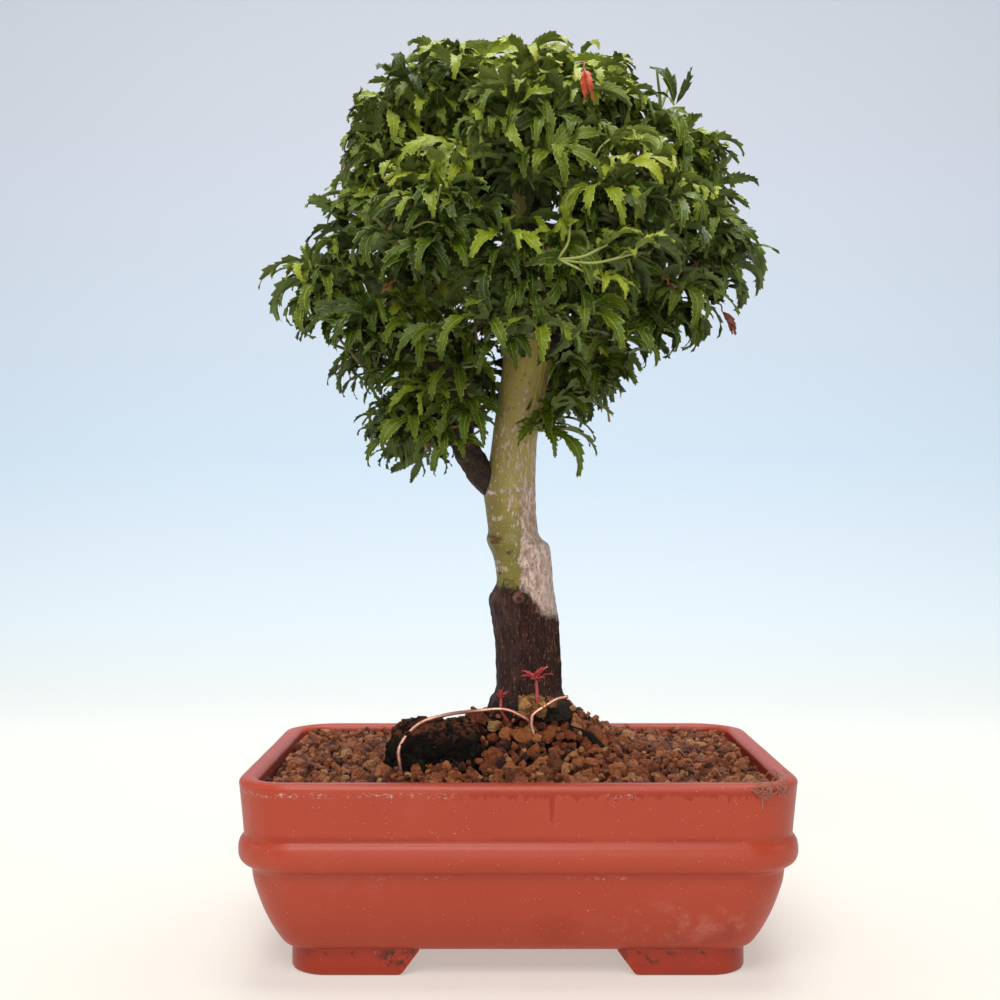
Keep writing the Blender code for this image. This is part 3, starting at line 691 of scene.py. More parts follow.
soil = {
    "lift": 0.0012,
    "mound": 0.025,
    "reach": 0.050,
    "middle": 0.006,
    "heaps": ((-0.022, -0.014, 0.0080, 0.012), (0.032, 0.004, 0.0050, 0.016)),
    "coarse": (0.0060, 0.0118),
    "fine": (0.0030, 0.0062),
    "coarseCount": 620,
    "fineCount": 1500,
    "wallRoom": 0.0105,
    "cornerRoom": 0.014,
    "tries": 14,  # for each grain wanted
    "darkShare": 0.035,
    "paleShare": 0.045,
    "shapes": 26,
    "planes": 11,
    "planeDepths": (0.50, 0.95),
    "lumps": 0.14,
    "fineLumps": 0.16,
    "stretch": (0.78, 1.12),
}


def moundHeight(x, y):
    away = np.hypot(x - soil["middle"], y) / soil["reach"]
    height = soilLevel + soil["lift"] + soil["mound"] * np.exp(-away * away)
    for placeX, placeY, high, wide in soil["heaps"]:
        height = height + high * np.exp(-((x - placeX) ** 2 + (y - placeY) ** 2) / wide**2)
    return height


def crumb(rng, detail):
    # an angular grain: a ball cut by planes, then roughened
    directions, faces = ballMesh(detail)
    planes = unit(rng.normal(size=(soil["planes"], 3)))
    depths = rng.uniform(*soil["planeDepths"], soil["planes"])
    facing = directions @ planes.T
    reach = np.where(facing > 0.15, depths / np.maximum(facing, 0.15), 9)
    radius = np.minimum(reach.min(1), 1.12)
    seed = rng.uniform(0, 40)
    lumps = 1 + soil["lumps"] * turbulence(directions, 2.0, 2, seed)
    lumps = lumps + soil["fineLumps"] * turbulence(directions, 5.0, 3, seed)
    points = directions * (radius * lumps)[:, None] * rng.uniform(*soil["stretch"], 3)
    return points, faces


def grainFinish():
    paint = Paint("claySoil")
    tone = paint.value("tone")
    mottle = paint.noise(420, 4, 0.65)
    colour = paint.ramp(
        tone + (mottle - 0.5) * 0.62,
        (
            (0.0, (0.020, 0.009, 0.006)),
            (0.18, (0.125, 0.024, 0.005)),
            (0.50, (0.350, 0.086, 0.021)),
            (0.78, (0.620, 0.205, 0.062)),
            (0.93, (0.640, 0.310, 0.120)),
            (1.0, (0.680, 0.410, 0.160)),
        ),
    )
    pits = paint.cells(820).step(0.34, 0.10) * paint.noise(260, 3, 0.6).step(0.38, 0.56)
    colour = paint.mix(pits * 0.85, colour, (0.030, 0.005, 0.002))
    glints = paint.noise(1200, 2, 0.7).step(0.60, 0.68)
    colour = paint.mix(glints * 0.5, colour, (0.78, 0.40, 0.22))
    paint.set("Base Color", colour)
    paint.set("Specular IOR Level", 0.5)
    paint.set("Roughness", 0.22 + mottle * 0.38)
    paint.bump(paint.noise(700, 5, 0.8) * 1.3 + mottle * 0.9 - pits * 0.8, 0.0021)
    return paint


def buildSoil():
    print("soil grains")
    rng = np.random.default_rng(11)
    finish = grainFinish()
    halfX = (potHigh.x - potLow.x) / 2 - soil["wallRoom"]
    halfY = (potHigh.y - potLow.y) / 2 - soil["wallRoom"]
    ballMiddle = (ballLow + ballHigh) / 2
    ballHalf = (ballHigh - ballLow) / 2
    kept = np.empty((0, 4))
    shapes = {detail: [crumb(rng, detail) for _ in range(soil["shapes"])] for detail in (2, 3)}
    for name, detail, (small, large), wanted, lift, overlap in (
        ("soil_grains_coarse", 3, soil["coarse"], soil["coarseCount"], 0.10, 0.42),
        ("soil_grains_fine", 2, soil["fine"], soil["fineCount"], 0.62, 0.40),
    ):
        heap = Heap()
        made = 0
        for _ in range(wanted * soil["tries"]):
            if made == wanted:
                break
            size = small + (large - small) * rng.uniform() ** 1.3
            x = rng.uniform(-halfX + size / 2, halfX - size / 2)
            y = rng.uniform(-halfY + size / 2, halfY - size / 2)
            inBall = math.hypot((x - ballMiddle.x) / ballHalf.x, (y - ballMiddle.y) / ballHalf.y) < 0.93
            z = float(moundHeight(x, y))
            if detail == 2:
                z += rng.uniform(-0.0005, 0.0030)
            left, right = trunkReach(z)
            wide = (left + right) / 2 - size * 0.2
            nearTrunk = math.hypot((x - (right - left) / 2) / wide, y / (wide * 0.80)) < 1
            cornerX = abs(x) - (halfX - soil["cornerRoom"])
            cornerY = abs(y) - (halfY - soil["cornerRoom"])
            beyond = math.hypot(max(cornerX, 0), max(cornerY, 0))
            inCorner = min(cornerX, cornerY) > 0 and beyond > soil["cornerRoom"] - size / 2
            if inBall or nearTrunk or inCorner:
                continue
            apart = np.linalg.norm(kept[:, :3] - (x, y, z), axis=1)
            if len(kept) and (apart < (kept[:, 3] + size) * overlap).any():
                continue
            kept = np.vstack([kept, (x, y, z, size)])
            points, faces = shapes[detail][rng.integers(soil["shapes"])]
            turn = np.array(Quaternion(unit(rng.normal(size=4))).to_matrix())
            place = (x, y, z + size * lift * 0.35)
            tone = float(np.clip(rng.normal(0.50, 0.19), 0.10, 0.88))
            luck = rng.uniform()
            if luck < soil["darkShare"]:
                tone = 0.02
            elif luck > 1 - soil["paleShare"]:
                tone = rng.uniform(0.88, 1.0)
            heap.add(points @ turn.T * size / 2 + place, None, faces, faceValues={"tone": tone})
            made += 1
        print(name, made)
        heap.piece(name, finish, "soil", 20)
    # the bed that shows between the grains is painted near black: the damp soil's dark colour and the shade in
    # the gaps
    bed = Paint("shadedSoilBed", Roughness=0.95)
    bed.set("Base Color", bed.mix(bed.noise(300, 4), (0.012, 0.004, 0.002), (0.055, 0.016, 0.007)))
    bed.bump(bed.noise(500, 4, 0.7), 0.0008)
    repaint("soil_bed", bed)


def repaint(node, paint):
    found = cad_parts[node]
    found.data.materials.clear()
    found.data.materials.append(paint.material)


# Old root ball: a dark chunk with moss at its foot and rusty grains on top

rootBall = {"detail": 6, "roots": 26, "squareness": 3.2}


def ballFinish():
    paint = Paint("oldSoil", Roughness=0.7, Specular_IOR_Level=0.15)
    z = paint.axes()[2]
    lump = paint.noise(260, 5, 0.7)
    colour = paint.mix(lump.step(0.35, 0.75), (0.002, 0.0015, 0.0012), (0.020, 0.012, 0.008))
    rust = paint.noise(190, 5, 0.75).step(0.46, 0.58) * z.step(ballHigh.z - 0.010, ballHigh.z - 0.003)
    colour = paint.mix(rust * 0.95, colour, (0.19, 0.066, 0.030))
    moss = paint.noise(120, 4, 0.7).step(0.53, 0.66)
    colour = paint.mix(moss * 0.45, colour, (0.045, 0.048, 0.018))
    paint.set("Base Color", colour)
    paint.bump(paint.noise(900, 5, 0.8) + lump, 0.0020)
    return paint


def buildRootBall():
    print("root ball")
    rng = np.random.default_rng(5)
    middle = (ballLow + ballHigh) / 2
    half = (ballHigh - ballLow) / 2
    directions, faces = ballMesh(rootBall["detail"])
    square = (np.abs(directions) ** rootBall["squareness"]).sum(1) ** (-1 / rootBall["squareness"])
    reach = square * (0.98 + 0.10 * turbulence(directions, 2.4, 3, 3.1))
    reach += 0.085 * turbulence(directions, 7, 3, 7.0) + 0.050 * turbulence(directions, 19, 4, 2.0)
    points = directions * reach[:, None] * np.array(half) + np.array(middle)
    points[:, 2] = np.minimum(points[:, 2], ballHigh.z + 0.001)
    heap = Heap()
    heap.add(points, None, faces)
    finish = ballFinish()
    heap.piece("root_ball_chunk", finish, "old_soil", 60, ["old_root_ball"])
    heap = Heap()
    for _ in range(rootBall["roots"]):
        direction = unit(rng.normal(size=3) * (1, 0.8, 0.7) + (0, -0.5, 0.2))
        start = np.array(middle) + direction * np.array(half) * 0.98
        stations = [(*start, 0.00035)]
        heading = unit(np.cross(direction, rng.normal(size=3)))
        for number in range(4):
            heading = unit(heading + rng.normal(size=3) * 0.5 - direction * 0.05)
            place = np.array(stations[-1][:3]) + heading * rng.uniform(0.002, 0.005)
            away = unit((place - np.array(middle)) / np.array(half))
            place = np.array(middle) + away * np.array(half)
            stations.append((*place, 0.0003 - 0.00005 * number))
        addTube(heap, stations, 5, 3)
    paint = Paint("fineRoots", Roughness=0.8)
    paint.set("Base Color", paint.mix(paint.noise(300, 2), (0.05, 0.025, 0.014), (0.22, 0.13, 0.08)))
    heap.piece("fine_roots", paint, "old_soil", 60)


# Trunk: heights above the soil as shares of its height, then how far it reaches left and right

trunk = {
    "profile": (
        (-0.085, 0.0230, 0.0380),
        (-0.035, 0.0200, 0.0350),
        (0.003, 0.0165, 0.0325),
        (0.012, 0.0148, 0.0290),
        (0.028, 0.0132, 0.0258),
        (0.042, 0.0108, 0.0237),
        (0.079, 0.0106, 0.0230),
        (0.118, 0.0110, 0.0222),
        (0.155, 0.0127, 0.0214),
        (0.178, 0.0139, 0.0206),
        (0.198, 0.0134, 0.0198),
        (0.212, 0.0112, 0.0192),
        (0.222, 0.0102, 0.0189),
        (0.243, 0.0110, 0.0186),
        (0.265, 0.0127, 0.0179),
        (0.281, 0.0150, 0.0168),
        (0.292, 0.0158, 0.0128),
        (0.306, 0.0150, 0.0109),
        (0.338, 0.0162, 0.0104),
        (0.379, 0.0172, 0.0100),
        (0.420, 0.0140, 0.0102),
        (0.478, 0.0118, 0.0113),
        (0.519, 0.0096, 0.0145),
        (0.560, 0.0080, 0.0176),
        (0.595, 0.0070, 0.0189),
        (0.690, 0.0050, 0.0180),
        (0.801, 0.0030, 0.0140),
        (0.927, 0.0020, 0.0080),
        (0.995, 0.0020, 0.0035),
    ),
    "sides": 110,
    "rings": 300,
    "crack": 0.0007,
    "roots": (  # stations with their heights over the soil at the walls, and a radius
        ((0.012, -0.004, 0.0190, 0.0080), (0.024, -0.014, 0.0195, 0.0040), (0.036, -0.025, 0.0182, 0.0019),
         (0.044, -0.031, 0.0120, 0.0017), (0.054, -0.029, 0.0070, 0.0015), (0.066, -0.034, -0.0020, 0.0012)),
        ((0.006, 0, 0.014, 0.011), (0.012, 0.026, 0.010, 0.0060), (0.010, 0.050, -0.010, 0.0030)),
        ((0.006, 0, 0.012, 0.011), (-0.014, 0.012, 0.010, 0.0060), (-0.036, 0.018, -0.006, 0.0030)),
    ),
    "paleSpots": (  # across, height, half width, half height
        (-0.0100, 0.1025, 0.0030, 0.0013), (-0.0075, 0.0765, 0.0034, 0.0020),
        (-0.0016, 0.1110, 0.0048, 0.0030), (-0.0098, 0.0800, 0.0016, 0.0010),
    ),
    "oldBuds": (
        (-0.0042, 0.0850, 0.0012, 0.0008), (-0.0112, 0.0905, 0.0022, 0.0008), (-0.0085, 0.0745, 0.0010, 0.0007),
    ),
    "knots": (  # place round the trunk in degrees, height, size, rise
        (-92, 0.0625, 0.0034, 0.0013), (-104, 0.0852, 0.0018, 0.0005), (-140, 0.0905, 0.0022, 0.0006),
        (-150, 0.0680, 0.0045, 0.0006), (-118, 0.1030, 0.0022, 0.0004), (60, 0.120, 0.0040, 0.0010),
    ),
}


def trunkHeight(share):
    return ground + share * (trunkTop - ground)


def trunkReach(height):
    shares, left, right = np.array(trunk["profile"]).T
    at = (np.asarray(height) - ground) / (trunkTop - ground)
    return np.interp(at, shares, left), np.interp(at, shares, right)


def barkFinish():
    paint = Paint("trunkBark", IOR=1.45, Specular_IOR_Level=0.3)
    x, _, z = paint.axes()
    up = z - ground
    coarse = paint.noise(160, 4, 0.7)
    ragged = (coarse - 0.5) * 0.009 + (paint.noise(700, 3, 0.7) - 0.5) * 0.004

    def blot(placeX, height, wide, high):
        dx = (x - placeX) / wide
        dz = (up - height) / high
        return (dx * dx + dz * dz + ragged * 160).step(1.3, 0.6)

    # the dark rootstock, which reaches higher on the left than on the right
    dark = (up + ragged * 1.7 + x.step(0.001, 0.018) * 0.016).step(0.0710, 0.0658)
    fissures = paint.noise(1.0, 4, 0.7, paint.stretched(900, 900, 75))
    darkColour = paint.mix(fissures.step(0.35, 0.75), (0.018, 0.0065, 0.005), (0.072, 0.030, 0.023))
    ruddy = paint.noise(95, 3, 0.6).step(0.45, 0.65) * (0.3 + up.step(0.050, 0.066) * 0.7)
    darkColour = paint.mix(ruddy * 0.6, darkColour, (0.165, 0.072, 0.052))
    flecks = paint.noise(1.0, 2, 0.6, paint.stretched(1250, 1250, 320))
    flecks = (flecks + x * 1.5).step(0.62, 0.68)
    darkColour = paint.mix(flecks * 0.75, darkColour, (0.34, 0.150, 0.085))
    # the smooth green bark above it
    green = paint.mix(paint.noise(60, 4, 0.65), (0.118, 0.108, 0.016), (0.250, 0.215, 0.042))
    green = paint.mix(up.step(0.085, 0.135) * 0.80, green, (0.420, 0.345, 0.090))
    # painted shade down the trunk's left side
    green = paint.mix((x + ragged).step(-0.004, -0.013) * 0.35, green, (0.085, 0.060, 0.018))
    dashes = paint.noise(1.0, 4, 0.75, paint.stretched(720, 720, 240))
    crowd = (x * 5.0).lower(0.06) * up.step(0.150, 0.118) + up.band(0.098, 0.160, 0.018) * 0.060
    crowd = crowd - up.step(0.085, 0.070) * 0.04
    streaks = (dashes + crowd + (coarse - 0.5) * 0.12).step(0.570, 0.610)
    green = paint.mix(streaks * 0.80, green, (0.62, 0.48, 0.40))
    pores = paint.cells(1.0, paint.stretched(230, 230, 150)).step(0.17, 0.10)
    green = paint.mix(pores * 0.7, green, (0.42, 0.22, 0.14))
    patches = blot(*trunk["paleSpots"][0])
    for spot in trunk["paleSpots"][1:]:
        patches = patches.higher(blot(*spot))
    green = paint.mix(patches * dashes.step(0.44, 0.54) * 0.8, green, (0.56, 0.40, 0.33))
    # pale rough bark on the right, up to the scar
    pale = (x + ragged).step(0.0010, 0.0028) * (up + ragged * 1.4).step(0.130, 0.112)
    flake = paint.noise(1.0, 5, 0.8, paint.stretched(420, 420, 190))
    paleColour = paint.mix(flake.step(0.36, 0.66), (0.360, 0.235, 0.180), (0.800, 0.630, 0.530))
    paleColour = paint.mix(x.step(0.008, 0.018) * 0.4, paleColour, (0.66, 0.56, 0.50))
    chips = paint.noise(1.0, 4, 0.8, paint.stretched(800, 800, 460)).step(0.58, 0.66)
    paleColour = paint.mix(chips * 0.6, paleColour, (0.14, 0.065, 0.045))
    colour = paint.mix(pale, green, paleColour)
    scar = abs(up - 0.1172 - x * 0.10 + ragged * 0.7).step(0.0015, 0.0005) * dashes.step(0.42, 0.52)
    colour = paint.mix(scar * 0.9, colour, (0.74, 0.62, 0.55))
    # rings of old buds and a knot, brown with paler rims
    budMarks = abs(up - 0.0905 + x * 0.22 + ragged * 0.5).step(0.0011, 0.0004) * x.step(-0.0065, -0.0090)
    for spot in trunk["oldBuds"]:
        budMarks = budMarks.higher(blot(*spot))
    colour = paint.mix(budMarks * 0.85, colour, (0.115, 0.040, 0.022))
    colour = paint.mix(dark, colour, darkColour)
    knot = blot(0.0008, 0.0625, 0.0030, 0.0028) - blot(0.0010, 0.0615, 0.0014, 0.0013)
    colour = paint.mix(knot.higher(0.0) * 0.8, colour, (0.20, 0.090, 0.060))
    # painted shade at the trunk's foot, where it meets the soil; the same mask also makes the bark rougher and
    # bumpier there
    footShade = (up + ragged * 1.4).step(0.0115, 0.004)
    colour = paint.mix(footShade * 0.88, colour, (0.009, 0.0065, 0.005))
    moss = (up + ragged * 2.0).step(0.018, 0.006) * x.band(0.014, 0.026, 0.004)
    moss = moss * paint.noise(420, 4, 0.7).step(0.46, 0.60)
    colour = paint.mix(moss * 0.7, colour, (0.060, 0.064, 0.030))
    paint.set("Base Color", colour)
    paint.set("Roughness", 0.42 + dark * 0.14 + pale * 0.35 + footShade * 0.2)
    height = (
        dark * (fissures * 1.8 - flecks * 0.3)
        + pale * (flake * 1.3 - chips * 0.8)
        + (1 - dark) * (streaks * 0.25 - pores * 0.5 - budMarks * 0.8 + scar * 0.5)
        + footShade * paint.noise(900, 4, 0.75) * 1.5
    )
    paint.bump(height, 0.0009)
    return paint


def buildTrunk(finish):
    print("trunk")
    rows = smoothPath(np.array(trunk["profile"]), 12)
    heights = np.interp(np.linspace(0, 1, trunk["rings"]), np.linspace(0, 1, len(rows)), rows[:, 0])
    reachLeft = np.interp(heights, rows[:, 0], rows[:, 1])
    reachRight = np.interp(heights, rows[:, 0], rows[:, 2])
    angles = np.arange(trunk["sides"]) / trunk["sides"] * math.tau
    heightGrid, angleGrid = np.meshgrid(trunkHeight(heights), angles, indexing="ij")
    middle = ((reachRight - reachLeft) / 2)[:, None]
    half = ((reachRight + reachLeft) / 2)[:, None]
    aroundX, aroundY = np.cos(angleGrid), np.sin(angleGrid)
    base = np.stack([aroundX * 0.9, aroundY * 0.9, heightGrid * 28], -1).reshape(-1, 3)
    lumps = turbulence(base, 1.0, 2, 2.0).reshape(heightGrid.shape)
    above = heightGrid - ground
    # vertical cracks on the rootstock, flakes on the pale side and roots spreading at the foot
    fine = np.stack([aroundX * 9, aroundY * 9, heightGrid * 60], -1).reshape(-1, 3)
    cracks = turbulence(fine, 1.0, 4, 5.0).reshape(heightGrid.shape)
    rough = np.where(above < 0.064, 1.0, np.where(aroundX > 0.15, 0.75, 0.22))
    swelling = np.exp(-((above / 0.010) ** 2)) * np.clip(1 - above / 0.03, 0, 1)
    ridges = 0.5 + 0.5 * np.sin(angleGrid * 5 + 1.3 + 0.8 * np.sin(angleGrid * 2))
    foot = np.clip(1 - above / 0.022, 0, 1) ** 1.6 * (ridges - 0.35) * 0.0030
    for turn, high, size, rise in trunk["knots"]:
        turned = np.angle(np.exp(1j * (angleGrid - math.radians(turn)))) * 0.0155
        away = np.hypot(turned, above - high) / size
        foot = foot + rise * (np.exp(-((away - 0.9) ** 2) * 5) - 0.5 * np.exp(-(away**2) * 4))
    radius = half * (1 + 0.035 * lumps) + cracks * trunk["crack"] * rough + foot + swelling * 0.0004
    depthShare = np.where(above < 0.0, 0.80, 0.97)
    points = np.stack([middle + radius * aroundX, radius * aroundY * depthShare, heightGrid], -1)
    quads, caps = ringFaces(len(heights), trunk["sides"])
    heap = Heap()
    heap.add(points, quads, caps)
    for number, root in enumerate(trunk["roots"]):
        stations = [(x, y, soilLevel + z, radius) for x, y, z, radius in root]
        addTube(heap, stations, 28, 12, knobbly(0.16, 1.8, 0.12, 9.0 + number))
    heap.piece("trunk_wood", finish, "trunk_bark", 60, ["trunk"])


# Branches: places in shares of the crown's half width, half depth and height, and a radius

branches = {
    "branch_low_left": (0.370, 0.0075, ((-0.42, -0.10, 0.32, 0.0050), (-0.66, -0.12, 0.36, 0.0030))),
    "branch_low_right": (
        0.573,
        0.0060,
        ((0.22, -0.02, 0.34, 0.0050), (0.42, -0.04, 0.40, 0.0040), (0.66, -0.02, 0.44, 0.0026)),
    ),
    "branch_front": (0.614, 0.0055, ((0.05, -0.24, 0.40, 0.0045), (0.03, -0.52, 0.44, 0.0028))),
    "branch_back": (0.633, 0.0060, ((0.00, 0.26, 0.42, 0.0048), (-0.06, 0.56, 0.46, 0.0030))),
    "branch_middle_left": (
        0.696,
        0.0055,
        ((-0.22, 0.02, 0.55, 0.0045), (-0.44, 0.00, 0.64, 0.0036), (-0.60, -0.04, 0.68, 0.0024)),
    ),
    "branch_middle_right": (
        0.734,
        0.0052,
        ((0.24, 0.03, 0.60, 0.0044), (0.46, 0.02, 0.68, 0.0034), (0.66, 0.00, 0.70, 0.0022)),
    ),
    "branch_upper_front": (0.772, 0.0042, ((0.10, -0.22, 0.64, 0.0034), (0.14, -0.46, 0.70, 0.0020))),
    "branch_upper_back": (0.791, 0.0042, ((-0.02, 0.24, 0.66, 0.0034), (-0.05, 0.48, 0.74, 0.0020))),
    "branch_top_left": (0.873, 0.0036, ((-0.14, -0.03, 0.78, 0.0028), (-0.28, -0.05, 0.86, 0.0018))),
    "branch_top_right": (0.892, 0.0034, ((0.16, 0.04, 0.80, 0.0026), (0.34, 0.06, 0.84, 0.0016))),
}


def branchStations(name):
    share, radius, places = branches[name]
    height = trunkHeight(share)
    left, right = trunkReach(height)
    middle = float(right - left) / 2
    half = float(right + left) / 2
    if name == "branch_low_left":
        stations = [
            (middle - half * 0.5, 0, height, radius),
            (middle - half * 1.7, -0.004, height + 0.022, radius * 0.91),
            (middle - half * 2.2, -0.008, height + 0.053, radius * 0.83),
        ]
    else:
        stations = [(middle, 0, height, radius)]
    halfCrown = (crownHigh - crownLow) / 2
    for across, deep, high, size in places:
        stations.append(
            (across * halfCrown.x, deep * halfCrown.y, crownLow.z + high * halfCrown.z * 2, size)
        )
    return stations


def branchFinish():
    paint = Paint("branchBark", Roughness=0.7, Specular_IOR_Level=0.3)
    streaks = paint.noise(500, 4, 0.7)
    colour = paint.mix(streaks.step(0.3, 0.75), (0.010, 0.0065, 0.0045), (0.060, 0.036, 0.021))
    lichen = paint.noise(170, 3, 0.7).step(0.60, 0.72)
    colour = paint.mix(lichen * 0.35, colour, (0.20, 0.18, 0.11))
    paint.set("Base Color", colour)
    paint.bump(streaks, 0.0009)
    return paint


def buildBranches():
    print("branches")
    finish = branchFinish()
    for name in branches:
        heap = Heap()
        seed = len(name) + sum(map(ord, name)) % 17
        addTube(heap, branchStations(name), 26, 14, knobbly(0.13, 1.6, 0.22, seed))
        heap.piece(name.replace("branch_", "bough_"), finish, "branch_bark", 60, [name])


# Leaves: five or seven narrow toothed lobes that fold along their ribs and curl down at the tips

leaf = {
    "lobe": 0.0315,
    "halfWidth": 0.0032,
    "angles": (-122, -80, -38, 0, 38, 80, 122),
    "lengths": (0.55, 0.84, 1.02, 1.10, 1.02, 0.84, 0.55),
    "cleft": 0.17,
    "thick": 0.00013,
    "teeth": 9,
    "tones": 8,
    "layers": (  # spacing, how far in, tries, teeth, and how much darker the leaves are painted, as shade inside the crown
        (0.0156, 0.006, 600, 9, 0.0),
        (0.0230, 0.022, 200, 4, 0.30),
    ),
    "creaseReach": 0.010,  # the creases between two cushions stay open and dark
    "creaseRoom": 0.0078,
    "creaseShare": 0.8,
}

lobeOutline = ((0.0, 0.17, 0.30, 0.46, 0.60, 0.76, 0.90, 1.0), (0.6, 0.62, 0.78, 1.0, 0.90, 0.58, 0.27, 0.04))


def bladeShape(rng, size, teeth, curl, lobes, spread=1.0):
    # points, faces and values of one leaf: its stalk's end at the origin, middle lobe along +Y, top face up
    steps = 2 * teeth + 1
    angles = np.radians(leaf["angles"])
    lengths = np.array(leaf["lengths"])
    cutOff = (7 - lobes) // 2
    angles, lengths = angles[cutOff : 7 - cutOff], lengths[cutOff : 7 - cutOff]
    angles = spread * angles * rng.uniform(0.88, 1.10) + rng.normal(0, 0.07, len(angles))
    lengths = lengths * rng.uniform(0.86, 1.12, len(angles)) * leaf["lobe"] * size
    columns = np.array((-1.0, -0.5, 0.0, 0.5, 1.0))
    shares = leaf["cleft"] + (1 - leaf["cleft"]) * (np.arange(steps) / steps)
    fineShares = np.linspace(0, 1, 41)
    tips, grids, ups = [], [], []
    for angle, length in zip(angles, lengths):
        short = length / (leaf["lobe"] * size)
        bend = curl * rng.uniform(0.7, 1.3) * (0.6 + 0.4 * short)
        pitch = math.radians(rng.uniform(12, 50)) - bend * fineShares ** rng.uniform(1.3, 2.0)
        sweep = angle + rng.normal(0, 0.22) * fineShares**2
        twist = rng.normal(0, 0.24) + rng.normal(0, 0.40) * fineShares
        along = np.stack([np.cos(pitch) * np.sin(sweep), np.cos(pitch) * np.cos(sweep), np.sin(pitch)], -1)
        middles = np.vstack([np.zeros(3), np.cumsum((along[1:] + along[:-1]) / 2, 0) / 40]) * length
        level = np.stack([np.cos(sweep), -np.sin(sweep), np.zeros_like(sweep)], -1)
        up = np.cross(level, along)
        side = level * np.cos(twist)[:, None] + up * np.sin(twist)[:, None]
        up = np.cross(side, along)
        at = [np.stack([np.interp(shares, fineShares, part[:, k]) for k in range(3)], -1)
              for part in (middles, along, side, up)]
        middle, forward, across, above = (part[:, None, :] for part in at)
        width = leaf["halfWidth"] * size * (0.55 + 0.45 * short) * rng.uniform(0.85, 1.15)
        plain = np.interp(shares, *lobeOutline) * width
        odd = np.arange(steps) % 2 == 1
        tooth = np.where(odd, rng.uniform(0.06, 0.28, steps), rng.uniform(-0.20, -0.05, steps))
        tooth[0] = 0
        edge = plain[:, None] * (1 + tooth[:, None] * (np.abs(columns) == 1))
        reach = edge * columns
        fold = rng.uniform(0.20, 1.00)
        roll = rng.uniform(0.0, 0.5)
        rise = plain[:, None] * (fold * np.abs(columns) - roll * columns**2)
        wave = np.sin(shares * rng.uniform(14, 24) + rng.uniform(0, 6))[:, None] * np.abs(columns)
        frill = np.where(odd, 0.9, -0.5)[:, None] * (np.abs(columns) == 1) * rng.uniform(0.2, 1.0)
        rise = rise + width * (0.22 * wave * np.sign(columns + 0.1) + 0.14 * frill)
        lead = (np.where(odd, 1.0, 0.0) * length / steps)[:, None] * (np.abs(columns) == 1)
        grid = middle + across * reach[..., None] + above * rise[..., None] + forward * lead[..., None]
        grids.append(grid)
        ups.append(np.broadcast_to(above, grid.shape))
        tips.append(middles[-1])
    count = len(angles)
    # neighbouring lobes share the point of the cleft between them
    for number in range(count - 1):
        shared = (grids[number][0, -1] + grids[number + 1][0, 0]) / 2
        grids[number][0, -1] = shared
        grids[number + 1][0, 0] = shared
    points = np.concatenate([np.array(grids).reshape(-1, 3), np.array(tips), np.zeros((1, 3))])
    above = np.concatenate([np.array(ups).reshape(-1, 3), np.zeros((count, 3)), ((0, 0, 1.0),)])
    index = np.arange(count * steps * 5).reshape(count, steps, 5)
    index[1:, 0, 0] = index[:-1, 0, -1]
    tipIndex = count * steps * 5 + np.arange(count)
    stem = len(points) - 1
    quads = np.stack(
        [index[:, :-1, :-1], index[:, :-1, 1:], index[:, 1:, 1:], index[:, 1:, :-1]], -1
    ).reshape(-1, 4)
    tipFaces = np.stack(
        [index[:, -1, :-1], index[:, -1, 1:], np.broadcast_to(tipIndex[:, None], (count, 4))], -1
    ).reshape(-1, 3)
    fan = np.stack([np.full((count, 4), stem), index[:, 0, 1:], index[:, 0, :-1]], -1).reshape(-1, 3)
    triangles = np.concatenate([tipFaces, fan])
    across = np.concatenate([np.tile(np.abs(columns), count * steps), np.zeros(count), (0,)])
    along = np.concatenate([np.tile(np.repeat(shares, 5), count), np.ones(count), (0,)])
    # the underside shares the rim's points and lies a little below the others
    rim = (across == 1) | np.isin(np.arange(len(points)), tipIndex)
    under = np.arange(len(points))
    under[~rim] = len(points) + np.arange((~rim).sum())
    lower = points[~rim] - above[~rim] * leaf["thick"]
    points = np.vstack([points + above * leaf["thick"] * (~rim)[:, None], lower])
    used = np.zeros(len(points), bool)
    allQuads = np.concatenate([quads, under[quads][:, ::-1]])
    allTriangles = np.concatenate([triangles, under[triangles][:, ::-1]])
    used[allQuads.ravel()] = True
    used[allTriangles.ravel()] = True
    renumber = np.cumsum(used) - 1
    across = np.concatenate([across, across[~rim]])
    along = np.concatenate([along, along[~rim]])
    return {
        "points": points[used],
        "quads": renumber[allQuads],
        "triangles": renumber[allTriangles],
        "across": across[used],
        "along": along[used],
        "below": {
            4: np.repeat((0.0, 1.0), len(quads)),
            3: np.repeat((0.0, 1.0), len(triangles)),
        },
    }


def addBlade(heap, blade, points, tone):
    heap.add(
        points,
        blade["quads"],
        blade["triangles"],
        pointValues={"across": blade["across"], "along": blade["along"]},
        faceValues={"tone": tone, "below": blade["below"]},
    )


def leafFrame(forward, upward):
    # columns: across the leaf, along its middle lobe, and out of its top face
    y = unit(np.asarray(forward, float))
    z = np.asarray(upward, float)
    z = unit(z - y * np.dot(z, y))
    return np.stack([np.cross(y, z), y, z], 1)


